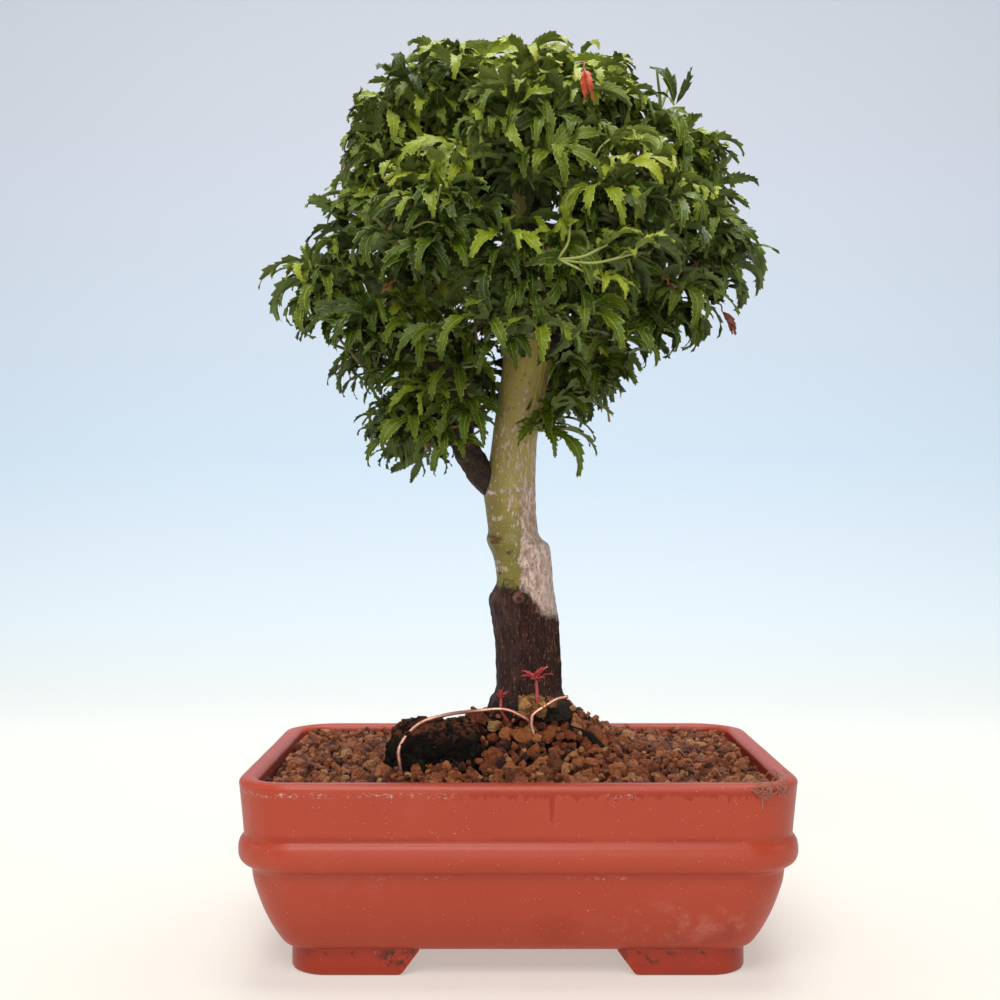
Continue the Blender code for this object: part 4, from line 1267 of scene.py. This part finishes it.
def leafFinish():
    paint = Paint("mapleLeaves", IOR=1.45, Specular_IOR_Level=0.32)
    across = paint.value("across")
    along = paint.value("along")
    tone = paint.value("tone")
    below = paint.value("below")
    spot = paint.vector(across * 1.3, along * 4, tone * 9)
    mottle = paint.noise(2.2, 4, 0.65, spot)
    # the tone holds each leaf's own green together with the painted light and shade given where the leaves are
    # placed
    colour = paint.ramp(
        tone * 0.92 + (mottle - 0.5) * 0.22,
        (
            (0.0, (0.013, 0.033, 0.001)),
            (0.25, (0.030, 0.065, 0.002)),
            (0.5, (0.067, 0.118, 0.005)),
            (0.75, (0.175, 0.240, 0.010)),
            (1.0, (0.325, 0.380, 0.022)),
        ),
    )
    # side veins run from the rib towards the teeth
    veins = paint.node("ShaderNodeMath", {"operation": "SINE"}, {0: (along - across * 0.11) * 70})
    veinLine = veins.step(0.80, 0.97) * across.step(0.98, 0.5)
    rib = across.step(0.13, 0.03)
    margin = across.step(0.80, 0.97)
    pale = (rib * 0.75).higher(margin * 0.55).higher(veinLine * 0.28)
    paleColour = paint.mix(tone, (0.150, 0.190, 0.022), (0.520, 0.520, 0.085))
    colour = paint.mix(pale, colour, paleColour)
    scorch = paint.noise(1.0, 1, 0.5, paint.vector(tone * 31, 0.0, 0.0)).step(0.46, 0.52)
    scorch = along.step(0.93, 0.985) * scorch
    colour = paint.mix(scorch * 0.85, colour, (0.16, 0.055, 0.018))
    underColour = paint.mix(0.62, colour, (0.150, 0.215, 0.075))
    paint.set("Base Color", paint.mix(below, colour, underColour))
    paint.set("Roughness", 0.18 + mottle * 0.18 + below * 0.26)
    paint.bump(paint.noise(6, 3, 0.6, spot) * 0.8 - rib * 0.5 - veinLine * 0.8, 0.0005)
    return paint


def bakeMap(mesh, tones):
    # one patch for each tone and side, which all the leaves of that tone share
    size = len(mesh.loops)
    vertex = np.empty(size, np.int32)
    mesh.loops.foreach_get("vertex_index", vertex)
    values = {}
    for name, count in (("across", len(mesh.vertices)), ("along", len(mesh.vertices)),
                        ("tone", len(mesh.polygons)), ("below", len(mesh.polygons))):
        values[name] = np.empty(count, np.float32)
        mesh.attributes[name].data.foreach_get("value", values[name])
    sizes = np.empty(len(mesh.polygons), np.int32)
    mesh.polygons.foreach_get("loop_total", sizes)
    face = np.repeat(np.arange(len(sizes)), sizes)
    patch = np.round(values["tone"][face] * (tones - 1)) + tones * values["below"][face]
    u = 0.06 + 0.88 * values["across"][vertex]
    v = 0.03 + 0.94 * values["along"][vertex]
    uv = np.stack([(patch % 4 + u) / 4, (patch // 4 + v) / 4], -1)
    layer = mesh.uv_layers.new(name="OFBake")
    layer.uv.foreach_set("vector", uv.astype(np.float32).ravel())


def outerSpots(rng, name, tree, spacing, taken, wanted):
    # places spread over the parts of a cushion's surface that nothing covers from outside
    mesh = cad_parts[name].data
    mesh.calc_loop_triangles()
    points = np.array([vert.co[:] for vert in mesh.vertices])
    corners = np.array([tri.vertices[:] for tri in mesh.loop_triangles])
    a, b, c = (points[corners[:, k]] for k in range(3))
    cross = np.cross(b - a, c - a)
    areas = np.linalg.norm(cross, axis=1)
    normals = unit(cross)
    shares = areas / areas.sum()
    found = []
    for _ in range(wanted):
        pick = rng.choice(len(shares), p=shares)
        s, t = rng.uniform(size=2)
        if s + t > 1:
            s, t = 1 - s, 1 - t
        spot = a[pick] + (b[pick] - a[pick]) * s + (c[pick] - a[pick]) * t
        normal = normals[pick]
        if tree.ray_cast(Vector(spot + normal * 0.0012), Vector(normal), 0.05)[0] is not None:
            continue
        gap = tree.find_nearest(Vector(spot + normal * leaf["creaseReach"]))[3]
        if gap < leaf["creaseRoom"] and rng.uniform() < leaf["creaseShare"]:
            continue
        if taken and (np.linalg.norm(np.array(taken) - spot, axis=1) < spacing).any():
            continue
        taken.append(spot)
        found.append((spot, normal))
    return found


crownRoom = {
    "domeSlope": 0.36,  # how fast the top falls towards front and back
    "domeSlack": 0.12,
    "depthShare": 0.82,  # of the width, and a bit more
    "depthMore": 0.012,
    "depthMost": 0.1065,
}

crownOutline = (  # height, then how far the leaves reach left and right
    (0.225, 0.066, 0.026), (0.236, 0.074, 0.028), (0.250, 0.085, 0.030), (0.263, 0.088, 0.036),
    (0.280, 0.090, 0.060), (0.290, 0.100, 0.076), (0.300, 0.118, 0.096), (0.316, 0.130, 0.118),
    (0.331, 0.130, 0.129), (0.344, 0.127, 0.130), (0.357, 0.116, 0.122), (0.373, 0.107, 0.115),
    (0.389, 0.094, 0.118), (0.407, 0.090, 0.116), (0.424, 0.087, 0.108), (0.430, 0.081, 0.094),
    (0.435, 0.080, 0.064), (0.450, 0.080, 0.058), (0.460, 0.048, 0.050), (0.466, 0.026, 0.034),
)


def heldInside(points, slack):
    # where a leaf's first point goes so that all of it stays within the crown's outline
    heights, left, right = np.array(crownOutline).T
    fall = crownRoom["domeSlope"] * np.abs(points[:, 1]) + (1.05 - slack) * crownRoom["domeSlack"]
    dome = crownHigh.z + 0.0008 - fall
    drop = max(float((points[:, 2] - dome).max()), 0.0)
    rise = max(float((crownLow.z - 0.001 - points[:, 2]).max()), 0.0)
    moved = points - (0, 0, drop - rise)
    reachLeft = np.interp(moved[:, 2], heights, left)
    reachRight = np.interp(moved[:, 2], heights, right)
    wide = np.where(moved[:, 0] < 0, reachLeft, reachRight) * slack
    deep = (reachLeft + reachRight) / 2 * crownRoom["depthShare"] + crownRoom["depthMore"]
    deep = np.minimum(deep * slack, crownRoom["depthMost"])
    share = np.hypot(moved[:, 0] / wide, moved[:, 1] / deep)
    worst = int(share.argmax())
    if share[worst] > 1:
        moved = moved + moved[worst] * (1, 1, 0) * (1 / share[worst] - 1)
    return moved[0]


leafExtras = (  # stalk's end, heading, size and tone of single leaves that hang clear of the others
    ((0.017, -0.016, 0.269), (0.9, -0.3, 0.10), 1.15, 0.57),
    ((0.013, -0.018, 0.259), (0.7, -0.5, -0.30), 1.10, 0.57),
    ((-0.022, -0.034, 0.268), (-0.3, -0.9, -0.4), 0.9, 0.43),
    ((-0.030, -0.030, 0.252), (-0.5, -0.8, -0.5), 0.8, 0.43),
    ((0.014, -0.004, 0.264), (0.9, 0.3, -0.20), 0.90, 0.43),
    ((-0.030, -0.032, 0.290), (-0.5, -0.8, -0.3), 1.0, 0.57),
    ((-0.042, -0.030, 0.278), (-0.7, -0.6, -0.3), 1.0, 0.71),
    ((-0.027, -0.026, 0.273), (-0.4, -0.9, -0.4), 0.9, 0.43),
    ((-0.050, -0.028, 0.264), (-0.7, -0.6, -0.3), 0.95, 0.57),
    ((-0.035, -0.026, 0.260), (-0.6, -0.8, -0.4), 0.85, 0.43),
    ((-0.048, -0.036, 0.302), (-0.6, -0.8, -0.2), 1.05, 0.57),
    ((-0.014, -0.072, 0.308), (-0.35, -1, -0.35), 1.05, 0.57),
    ((0.008, -0.078, 0.304), (0.1, -1, -0.45), 1.0, 0.71),
    ((0.030, -0.074, 0.309), (0.55, -0.9, -0.30), 1.05, 0.57),
    ((-0.004, -0.062, 0.298), (-0.1, -1, -0.6), 0.85, 0.29),
    ((0.046, -0.060, 0.300), (0.8, -0.7, -0.4), 0.95, 0.43),
    ((-0.036, -0.064, 0.303), (-0.6, -0.8, -0.5), 0.9, 0.43),
    ((0.020, -0.060, 0.290), (0.5, -0.9, -0.7), 0.8, 0.29),
    ((0.080, -0.034, 0.330), (0.9, -0.3, -0.45), 1.0, 0.57),
    ((0.034, -0.050, 0.424), (0.6, -0.6, -0.1), 1.0, 0.86),
    ((-0.030, -0.052, 0.432), (-0.5, -0.7, 0.0), 1.0, 0.86),
    ((0.004, -0.056, 0.436), (0.1, -0.9, 0.0), 0.95, 1.0),
)


def nearestTone(light):
    return round(float(light) * (leaf["tones"] - 1)) / (leaf["tones"] - 1)


def buildLeaves():
    print("leaves")
    rng = np.random.default_rng(23)
    heaps = {name: Heap() for name in leafNodes}
    allPoints, allFaces, start = [], [], 0
    for name in leafNodes:
        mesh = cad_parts[name].data
        allPoints += [vert.co.copy() for vert in mesh.vertices]
        allFaces += [[i + start for i in face.vertices] for face in mesh.polygons]
        start += len(mesh.vertices)
    tree = BVHTree.FromPolygons(allPoints, allFaces)
    crownMiddle = np.array((crownLow + crownHigh) / 2)
    crownHalf = np.array((crownHigh - crownLow) / 2)
    stalks = Heap()
    total = 0
    for spacing, inset, tries, teeth, innerShade in leaf["layers"]:
        taken = []
        for name in leafNodes:
            low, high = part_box(name)
            heap = heaps[name]
            centre = np.array((low + high) / 2)
            for spot, normal in outerSpots(rng, name, tree, spacing, taken, tries):
                size = rng.uniform(0.72, 1.20)
                flat = normal * (1, 1, 0)
                if np.linalg.norm(flat) < 0.45:
                    away = unit((spot - crownMiddle) * (1, 1, 0))
                    flat = flat + 0.6 * away + rng.normal(0, 0.35, 3) * (1, 1, 0)
                flat = unit(flat)
                forward = unit(flat + rng.normal(0, 0.38, 3) * (1, 1, 0.5) + (0, 0, rng.uniform(-0.72, 0.22)))
                upward = (0, 0, 1) + normal * 0.62 + rng.normal(0, 0.22, 3)
                reach = leaf["lobe"] * size
                lift = reach * (0.16 + 0.16 * max(normal[2], 0))
                place = spot - normal * inset - forward * reach * 0.50 + (0, 0, lift)
                curl = rng.uniform(1.3, 2.7)
                blade = bladeShape(rng, size, teeth, curl, 7 if rng.uniform() < 0.6 else 5)
                points = blade["points"] @ leafFrame(forward, upward).T + place
                moved = heldInside(points, rng.uniform(0.86, 1.08)) - points[0]
                points = points + moved
                place = place + moved
                # the tone is partly painted light: leaves that face up or sit high in the crown are lighter,
                # the inner layer is darker as shade, and a random part gives each leaf its own green
                light = 0.50 * max(normal[2], -0.2) + 0.40 * (spot[2] - crownLow.z) / (2 * crownHalf[2])
                light += rng.normal(0.27, 0.17) - innerShade
                addBlade(heap, blade, points, nearestTone(np.clip(light, 0, 1)))
                # its stalk runs back towards the middle of the cushion
                inward = unit(centre - place) * 0.6 - unit(forward) * 0.5
                length = rng.uniform(0.014, 0.024)
                end = place + unit(inward) * length + (0, 0, -0.003)
                sag = place + unit(inward) * length * 0.5 + (0, 0, 0.001)
                stations = [(*end, 0.0007), (*sag, 0.0005), (*place, 0.00055)]
                addTube(stalks, stations, 5, 3, pointValues={"tone": rng.uniform(0, 1)})
                total += 1
    for place, heading, size, tone in leafExtras:
        blade = bladeShape(rng, size, leaf["teeth"], 1.9, 7)
        forward = unit(np.array(heading, float))
        points = blade["points"] @ leafFrame(forward, (0, -0.3, 1)).T + place
        nearest = min(leafNodes, key=lambda name: (sum(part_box(name), Vector()) / 2 - Vector(place)).length)
        addBlade(heaps[nearest], blade, points, nearestTone(tone))
        back = np.array(place) - forward * 0.014 + (0, 0.004, -0.002)
        root = back - forward * (1, 1, 0) * 0.010 + (0, 0.006, 0.004)
        addTube(stalks, [(*root, 0.0007), (*back, 0.0006), (*place, 0.0006)], 5, 4, pointValues={"tone": 0.5})
    for name in leafNodes:
        made = heaps[name].piece(name.replace("leaves_", "foliage_"), leafPaint, "leaves", 75, [name])
        bakeMap(made.data, leaf["tones"])
    print("leaves placed:", total)
    return stalks


def buildTwigs(stalks):
    print("twigs")
    rng = np.random.default_rng(31)
    ends = [np.array(branchStations(name)[-1][:3]) for name in branches]
    ends += [np.array(branchStations(name)[-2][:3]) for name in branches]
    for name in leafNodes:
        low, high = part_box(name)
        centre = np.array((low + high) / 2)
        half = np.array((high - low) / 2)
        nearest = min(ends, key=lambda end: np.linalg.norm(end - centre))
        between = (nearest + centre) / 2 + rng.normal(0, 0.004, 3)
        stations = [(*nearest, 0.0020), (*between, 0.0017), (*centre, 0.0013)]
        addTube(stalks, stations, 8, 5, pointValues={"tone": -0.6})
        for _ in range(7):
            direction = unit(rng.normal(size=3))
            bend = centre + direction * half * 0.35 + rng.normal(0, 0.003, 3)
            end = centre + direction * half * 0.72 + (0, 0, 0.004)
            stations = [(*centre, 0.0012), (*bend, 0.0010), (*end, 0.0006)]
            addTube(stalks, stations, 6, 4, pointValues={"tone": rng.uniform(-0.5, 0.6)})
    paint = Paint("leafStalks", Roughness=0.45)
    tone = paint.value("tone")
    colour = paint.ramp(
        tone * 0.5 + 0.5,
        (
            (0.0, (0.040, 0.022, 0.012)),
            (0.35, (0.090, 0.050, 0.020)),
            (0.50, (0.200, 0.260, 0.050)),
            (0.85, (0.330, 0.380, 0.085)),
            (1.0, (0.360, 0.110, 0.050)),
        ),
    )
    paint.set("Base Color", paint.mix(paint.noise(400, 3) * 0.4, colour, (0.10, 0.08, 0.03)))
    paint.bump(paint.noise(900, 3), 0.0003)
    stalks.piece("leaf_stalks", paint, "leaves", 60)


# Tie wire: one end over the root ball, the other hooked in front of the trunk

wire = {
    "radius": 0.001,
    "sides": 14,
    "bend": 1.5,  # in thicknesses
    "ballMiddle": (-0.0405, -0.034),
    "ballHalf": (0.0225, 0.0180, 0.0190),
}


def wireStations():
    size = wire["radius"] * 2
    low = pot["footHeight"] - 0.0003 - wire["radius"]
    bend = wire["bend"] * size
    inner = pot["footHeight"] + pot["floor"]
    (leftX, leftY), (rightX, rightY) = pot["wireHoles"]
    ballX, ballY = wire["ballMiddle"]
    halfX, halfY, halfZ = wire["ballHalf"]
    ballZ = float(moundHeight(ballX, ballY)) + 0.0035
    over = ballZ + halfZ * 0.93 + size * 0.6
    return [
        (0.0060, -0.0300, ground + 0.0010),
        (0.0038, -0.0312, ground + 0.0032),
        (-0.0061, -0.0312, ground + 0.0074),
        (-0.0205, -0.0322, ground + 0.0068),
        (ballX + halfX * 0.25, ballY - 0.004, over + 0.0005),
        (ballX - halfX * 0.35, ballY - halfY * 0.45, over - 0.0035),
        (ballX - halfX * 0.74, ballY - halfY * 0.86, ballZ + halfZ * 0.30),
        (ballX - halfX * 0.72, ballY - halfY * 0.92, ballZ - halfZ * 0.30),
        (ballX - halfX * 0.60, ballY - halfY * 0.60, ballZ - halfZ * 1.25),
        (leftX, leftY, inner + 0.020),
        (leftX, leftY, inner),
        (leftX, leftY, low + bend),
        (leftX + bend * 0.29, leftY, low + bend * 0.29),
        (leftX + bend, leftY, low),
        (leftX + bend * 2, leftY, low),
        (rightX - bend * 2, rightY, low),
        (rightX - bend, rightY, low),
        (rightX - bend * 0.29, rightY, low + bend * 0.29),
        (rightX, rightY, low + bend),
        (rightX, rightY, inner),
        (rightX, rightY, inner + 0.020),
        (0.0150, -0.0330, soilLevel + 0.008),
        (0.0080, -0.0322, ground - 0.0040),
        (0.0072, -0.0318, ground + 0.0030),
        (0.0088, -0.0312, ground + 0.0056),
        (0.0135, -0.0302, ground + 0.0086),
        (0.0200, -0.0285, ground + 0.0122),
        (0.0255, -0.0272, ground + 0.0132),
    ]


def copperFinish():
    paint = Paint("copperWire", Metallic=0.85)
    dirt = paint.noise(500, 4, 0.7)
    colour = paint.mix(dirt.step(0.45, 0.75), (0.72, 0.36, 0.26), (0.34, 0.13, 0.085))
    paint.set("Base Color", colour)
    paint.set("Roughness", 0.28 + dirt * 0.25)
    paint.bump(dirt, 0.0002)
    return paint


def buildWire():
    print("wire and drainage")
    finish = copperFinish()
    heap = Heap()
    addTube(heap, [(*place, wire["radius"] * 0.9) for place in wireStations()], wire["sides"], 8)
    heap.piece("copper_tie", finish, "tie_wire", 50, ["tie_wire"])
    plastic = Paint("blackPlastic", Roughness=0.5)
    shade = plastic.noise(600, 3)
    plastic.set("Base Color", plastic.mix(shade, (0.012, 0.012, 0.013), (0.035, 0.034, 0.033)))
    for side in ("left", "right"):
        repaint(f"drain_mesh_{side}", plastic)
        repaint(f"mesh_clip_{side}", finish)


# What grows at the foot: red shoots, a knot of buds, dry roots on the rim

foot = {
    "front": -0.0275,
    "shootLeaf": 0.0088,
    "wisps": 46,
    "overRim": 0.45,  # the share that hangs over the rim's edge, the rest lies in the corner
    "cornerMiddle": (0.104, -0.0672),
    "cornerRadius": 0.028,
}


def redFinish():
    paint = Paint("redShoots", Roughness=0.42)
    mottle = paint.noise(700, 3, 0.6)
    colour = paint.mix(mottle, (0.40, 0.022, 0.030), (0.72, 0.13, 0.12))
    paint.set("Base Color", colour)
    paint.bump(mottle, 0.0002)
    return paint


def buildShoots():
    print("shoots, buds and dry roots")
    rng = np.random.default_rng(8)
    finish = redFinish()
    front = foot["front"]
    places = {
        "basal_shoot_left": (
            [(-0.005, front + 0.002, ground + 0.001, 0.0009), (-0.008, front - 0.002, ground + 0.007, 0.0007),
             (-0.008, front - 0.003, ground + 0.013, 0.0005)],
            ((-0.6, -0.3, 0.9), (0.1, -0.5, 1.0), (0.9, -0.4, 0.3)),
            0.55,
        ),
        "basal_shoot_right": (
            [(0.011, front + 0.004, ground + 0.003, 0.0010), (0.010, front - 0.003, ground + 0.012, 0.0008),
             (0.0095, front - 0.005, ground + 0.022, 0.0006)],
            ((-1.0, -0.25, 0.05), (0.9, -0.3, 0.45), (0.75, -0.5, 0.8)),
            1.0,
        ),
    }
    for name, (stations, turns, size) in places.items():
        heap = Heap()
        addTube(heap, stations, 9, 6)
        end = np.array(stations[-1][:3])
        for heading in turns:
            heading = unit(np.array(heading) + rng.normal(0, 0.06, 3))
            blade = bladeShape(rng, foot["shootLeaf"] * size / leaf["lobe"], 5, 0.9, 5, 0.55)
            points = blade["points"] @ leafFrame(heading, (0, -0.30, 1)).T + end
            heap.add(points, blade["quads"], blade["triangles"])
        heap.piece(name.replace("basal_", "red_"), finish, "young_shoots", 75, [name])

    paint = Paint("buds", Roughness=0.6)
    lump = paint.noise(350, 4, 0.7)
    paint.set("Base Color", paint.mix(lump.step(0.3, 0.7), (0.050, 0.015, 0.005), (0.48, 0.230, 0.065)))
    paint.bump(lump, 0.0010)
    heap = Heap()
    for place, size in (
        ((0.0040, front - 0.0005, ground + 0.0080), 0.0052),
        ((0.0115, front + 0.0005, ground + 0.0075), 0.0048),
        ((0.0165, front + 0.0020, ground + 0.0100), 0.0034),
        ((0.0080, front + 0.0010, ground + 0.0125), 0.0034),
    ):
        points, faces = crumb(rng, 4)
        points = points * (1 + 0.18 * turbulence(points, 5, 3, size * 900))[:, None]
        heap.add(points * size + place, None, faces)
    heap.piece("bud_knot", paint, "young_shoots", 60)

    heap = Heap()
    middleX, middleY = foot["cornerMiddle"]
    for _ in range(foot["wisps"]):
        over = rng.uniform() < foot["overRim"]
        startX = rng.uniform(0.106, 0.123)
        startY = -0.0960 if over else rng.uniform(-0.086, -0.072)
        start = (startX, startY, rimHeight + rng.uniform(-0.004, 0.002))
        heading = unit(rng.normal(size=3) * (1, 0.5, 0.8))
        stations = [(*start, 0.00022)]
        for _ in range(6):
            heading = unit(heading + rng.normal(size=3) * (0.9, 0.5, 0.9) + (0, 0, -0.12 if over else 0))
            place = np.array(stations[-1][:3]) + heading * rng.uniform(0.0008, 0.0028)
            place[0] = min(place[0], 0.1250)
            beyond = min(max(place[0] - middleX, 0), 0.0275)
            wall = middleY - math.sqrt(foot["cornerRadius"] ** 2 - beyond**2)  # the rim's outer face
            place[1] = np.clip(place[1], wall - 0.0024, wall - 0.0003) if over else max(place[1], wall + 0.004)
            low = rimHeight - (0.011 if over else 0.004)
            place[2] = np.clip(place[2], low, rimHeight + 0.003)
            stations.append((*place, 0.00018))
        addTube(heap, stations, 4, 4)
    paint = Paint("dryRoots", Roughness=0.9)
    paint.set("Base Color", paint.mix(paint.noise(500, 3), (0.110, 0.040, 0.024), (0.42, 0.26, 0.18)))
    heap.piece("dry_roots", paint, "old_soil", 60)


oddments = {
    "dead": (  # stalk's end, heading, size, tone from brown to orange
        ((0.0300, -0.079, 0.4230), (0.1, -0.3, -1.0), 0.52, 1.0),
        ((0.1010, -0.038, 0.3170), (0.4, -0.4, -0.9), 0.48, 0.3),
        ((-0.0600, -0.080, 0.3230), (-0.4, -0.6, -0.5), 0.20, 0.2),
        ((0.0700, -0.074, 0.3240), (0.3, -0.6, -0.6), 0.20, 0.1),
        ((-0.0600, -0.070, 0.3520), (-0.3, -0.8, -0.4), 0.30, 0.15),
        ((-0.0300, -0.012, 0.2600), (-0.5, -0.6, -0.2), 0.30, 0.2),
        ((-0.0250, -0.012, 0.2520), (-0.3, -0.8, 0.4), 0.22, 0.35),
    ),
    "horns": (
        ((0.0790, -0.024, 0.4240), (-0.26, -0.2, 1.0), 0.66),
        ((0.0800, -0.026, 0.4230), (0.12, -0.2, 1.0), 0.62),
        ((-0.0560, -0.030, 0.4330), (-0.45, -0.2, 0.9), 0.50),
    ),
    "stalks": (  # the yellow-green shoot in front: its brown twig, then its leaf stalks
        ((0.007, -0.070, 0.3470), (0.012, -0.085, 0.3400), (0.0175, -0.0940, 0.3320)),
        ((0.0175, -0.0940, 0.3320), (0.034, -0.0965, 0.3300), (0.052, -0.0930, 0.3350)),
        ((0.0175, -0.0940, 0.3320), (0.029, -0.0965, 0.3330), (0.040, -0.0930, 0.3390)),
        ((0.0180, -0.0940, 0.3320), (0.028, -0.0960, 0.3270), (0.038, -0.0920, 0.3230)),
        ((0.0175, -0.0940, 0.3320), (0.022, -0.0960, 0.3390), (0.023, -0.0930, 0.3470)),
    ),
}


def buildOddments(stalks):
    print("dead leaves and young growth")
    rng = np.random.default_rng(41)
    heap = Heap()
    for place, heading, size, tone in oddments["dead"]:
        blade = bladeShape(rng, size, 6, 1.2, 3, 0.16)
        points = blade["points"] @ leafFrame(heading, (0.2, -1, 0.2)).T + place
        heap.add(points, blade["quads"], blade["triangles"], pointValues={"tone": tone})
        back = np.array(place) - unit(np.array(heading)) * 0.005 + (0, 0.006, 0.001)
        middle = (back + np.array(place)) / 2 + (0.001, -0.001, 0.001)
        stations = [(*point, 0.0004) for point in (back, middle, place)]
        addTube(heap, stations, 5, 3, pointValues={"tone": 0.55})
    paint = Paint("deadLeaves", Roughness=0.6)
    tone = paint.value("tone") + (paint.noise(500, 3) - 0.5) * 0.3
    stops = (
        (0.0, (0.050, 0.014, 0.008)),
        (0.35, (0.160, 0.035, 0.016)),
        (0.75, (0.38, 0.070, 0.030)),
        (1.0, (0.44, 0.060, 0.012)),
    )
    paint.set("Base Color", paint.ramp(tone, stops))
    paint.bump(paint.noise(700, 3), 0.0004)
    heap.piece("dead_leaves", paint, "leaves", 75)

    heap = Heap()
    for place, heading, size in oddments["horns"]:
        blade = bladeShape(rng, size, 4, 1.7, 1)
        points = blade["points"] * (1.5, 1, 1.3) @ leafFrame(heading, (0.3, -0.8, 0.2)).T + place
        addBlade(heap, blade, points, 1 / 7)
    for number, route in enumerate(oddments["stalks"]):
        radius = 0.00062 if number else 0.0012
        tone = 0.55 if number else -0.5
        addTube(stalks, [(*place, radius) for place in route], 8, 6, pointValues={"tone": tone})
        if number:
            end = np.array(route[-1])
            blade = bladeShape(rng, 0.62, leaf["teeth"], 1.6, 7)
            forward = end - np.array(route[0]) + (0, -0.004, 0)
            points = blade["points"] @ leafFrame(forward, (0, -0.3, 1)).T + end
            addBlade(heap, blade, points, 1.0 if number % 2 else 6 / 7)
    made = heap.piece("young_growth", leafPaint, "leaves", 75)
    bakeMap(made.data, leaf["tones"])


buildStudio()
leafPaint = leafFinish()
buildPot()
buildSoil()
buildRootBall()
bark = barkFinish()
buildTrunk(bark)
buildBranches()
stalkHeap = buildLeaves()
buildOddments(stalkHeap)
buildTwigs(stalkHeap)
buildWire()
buildShoots()
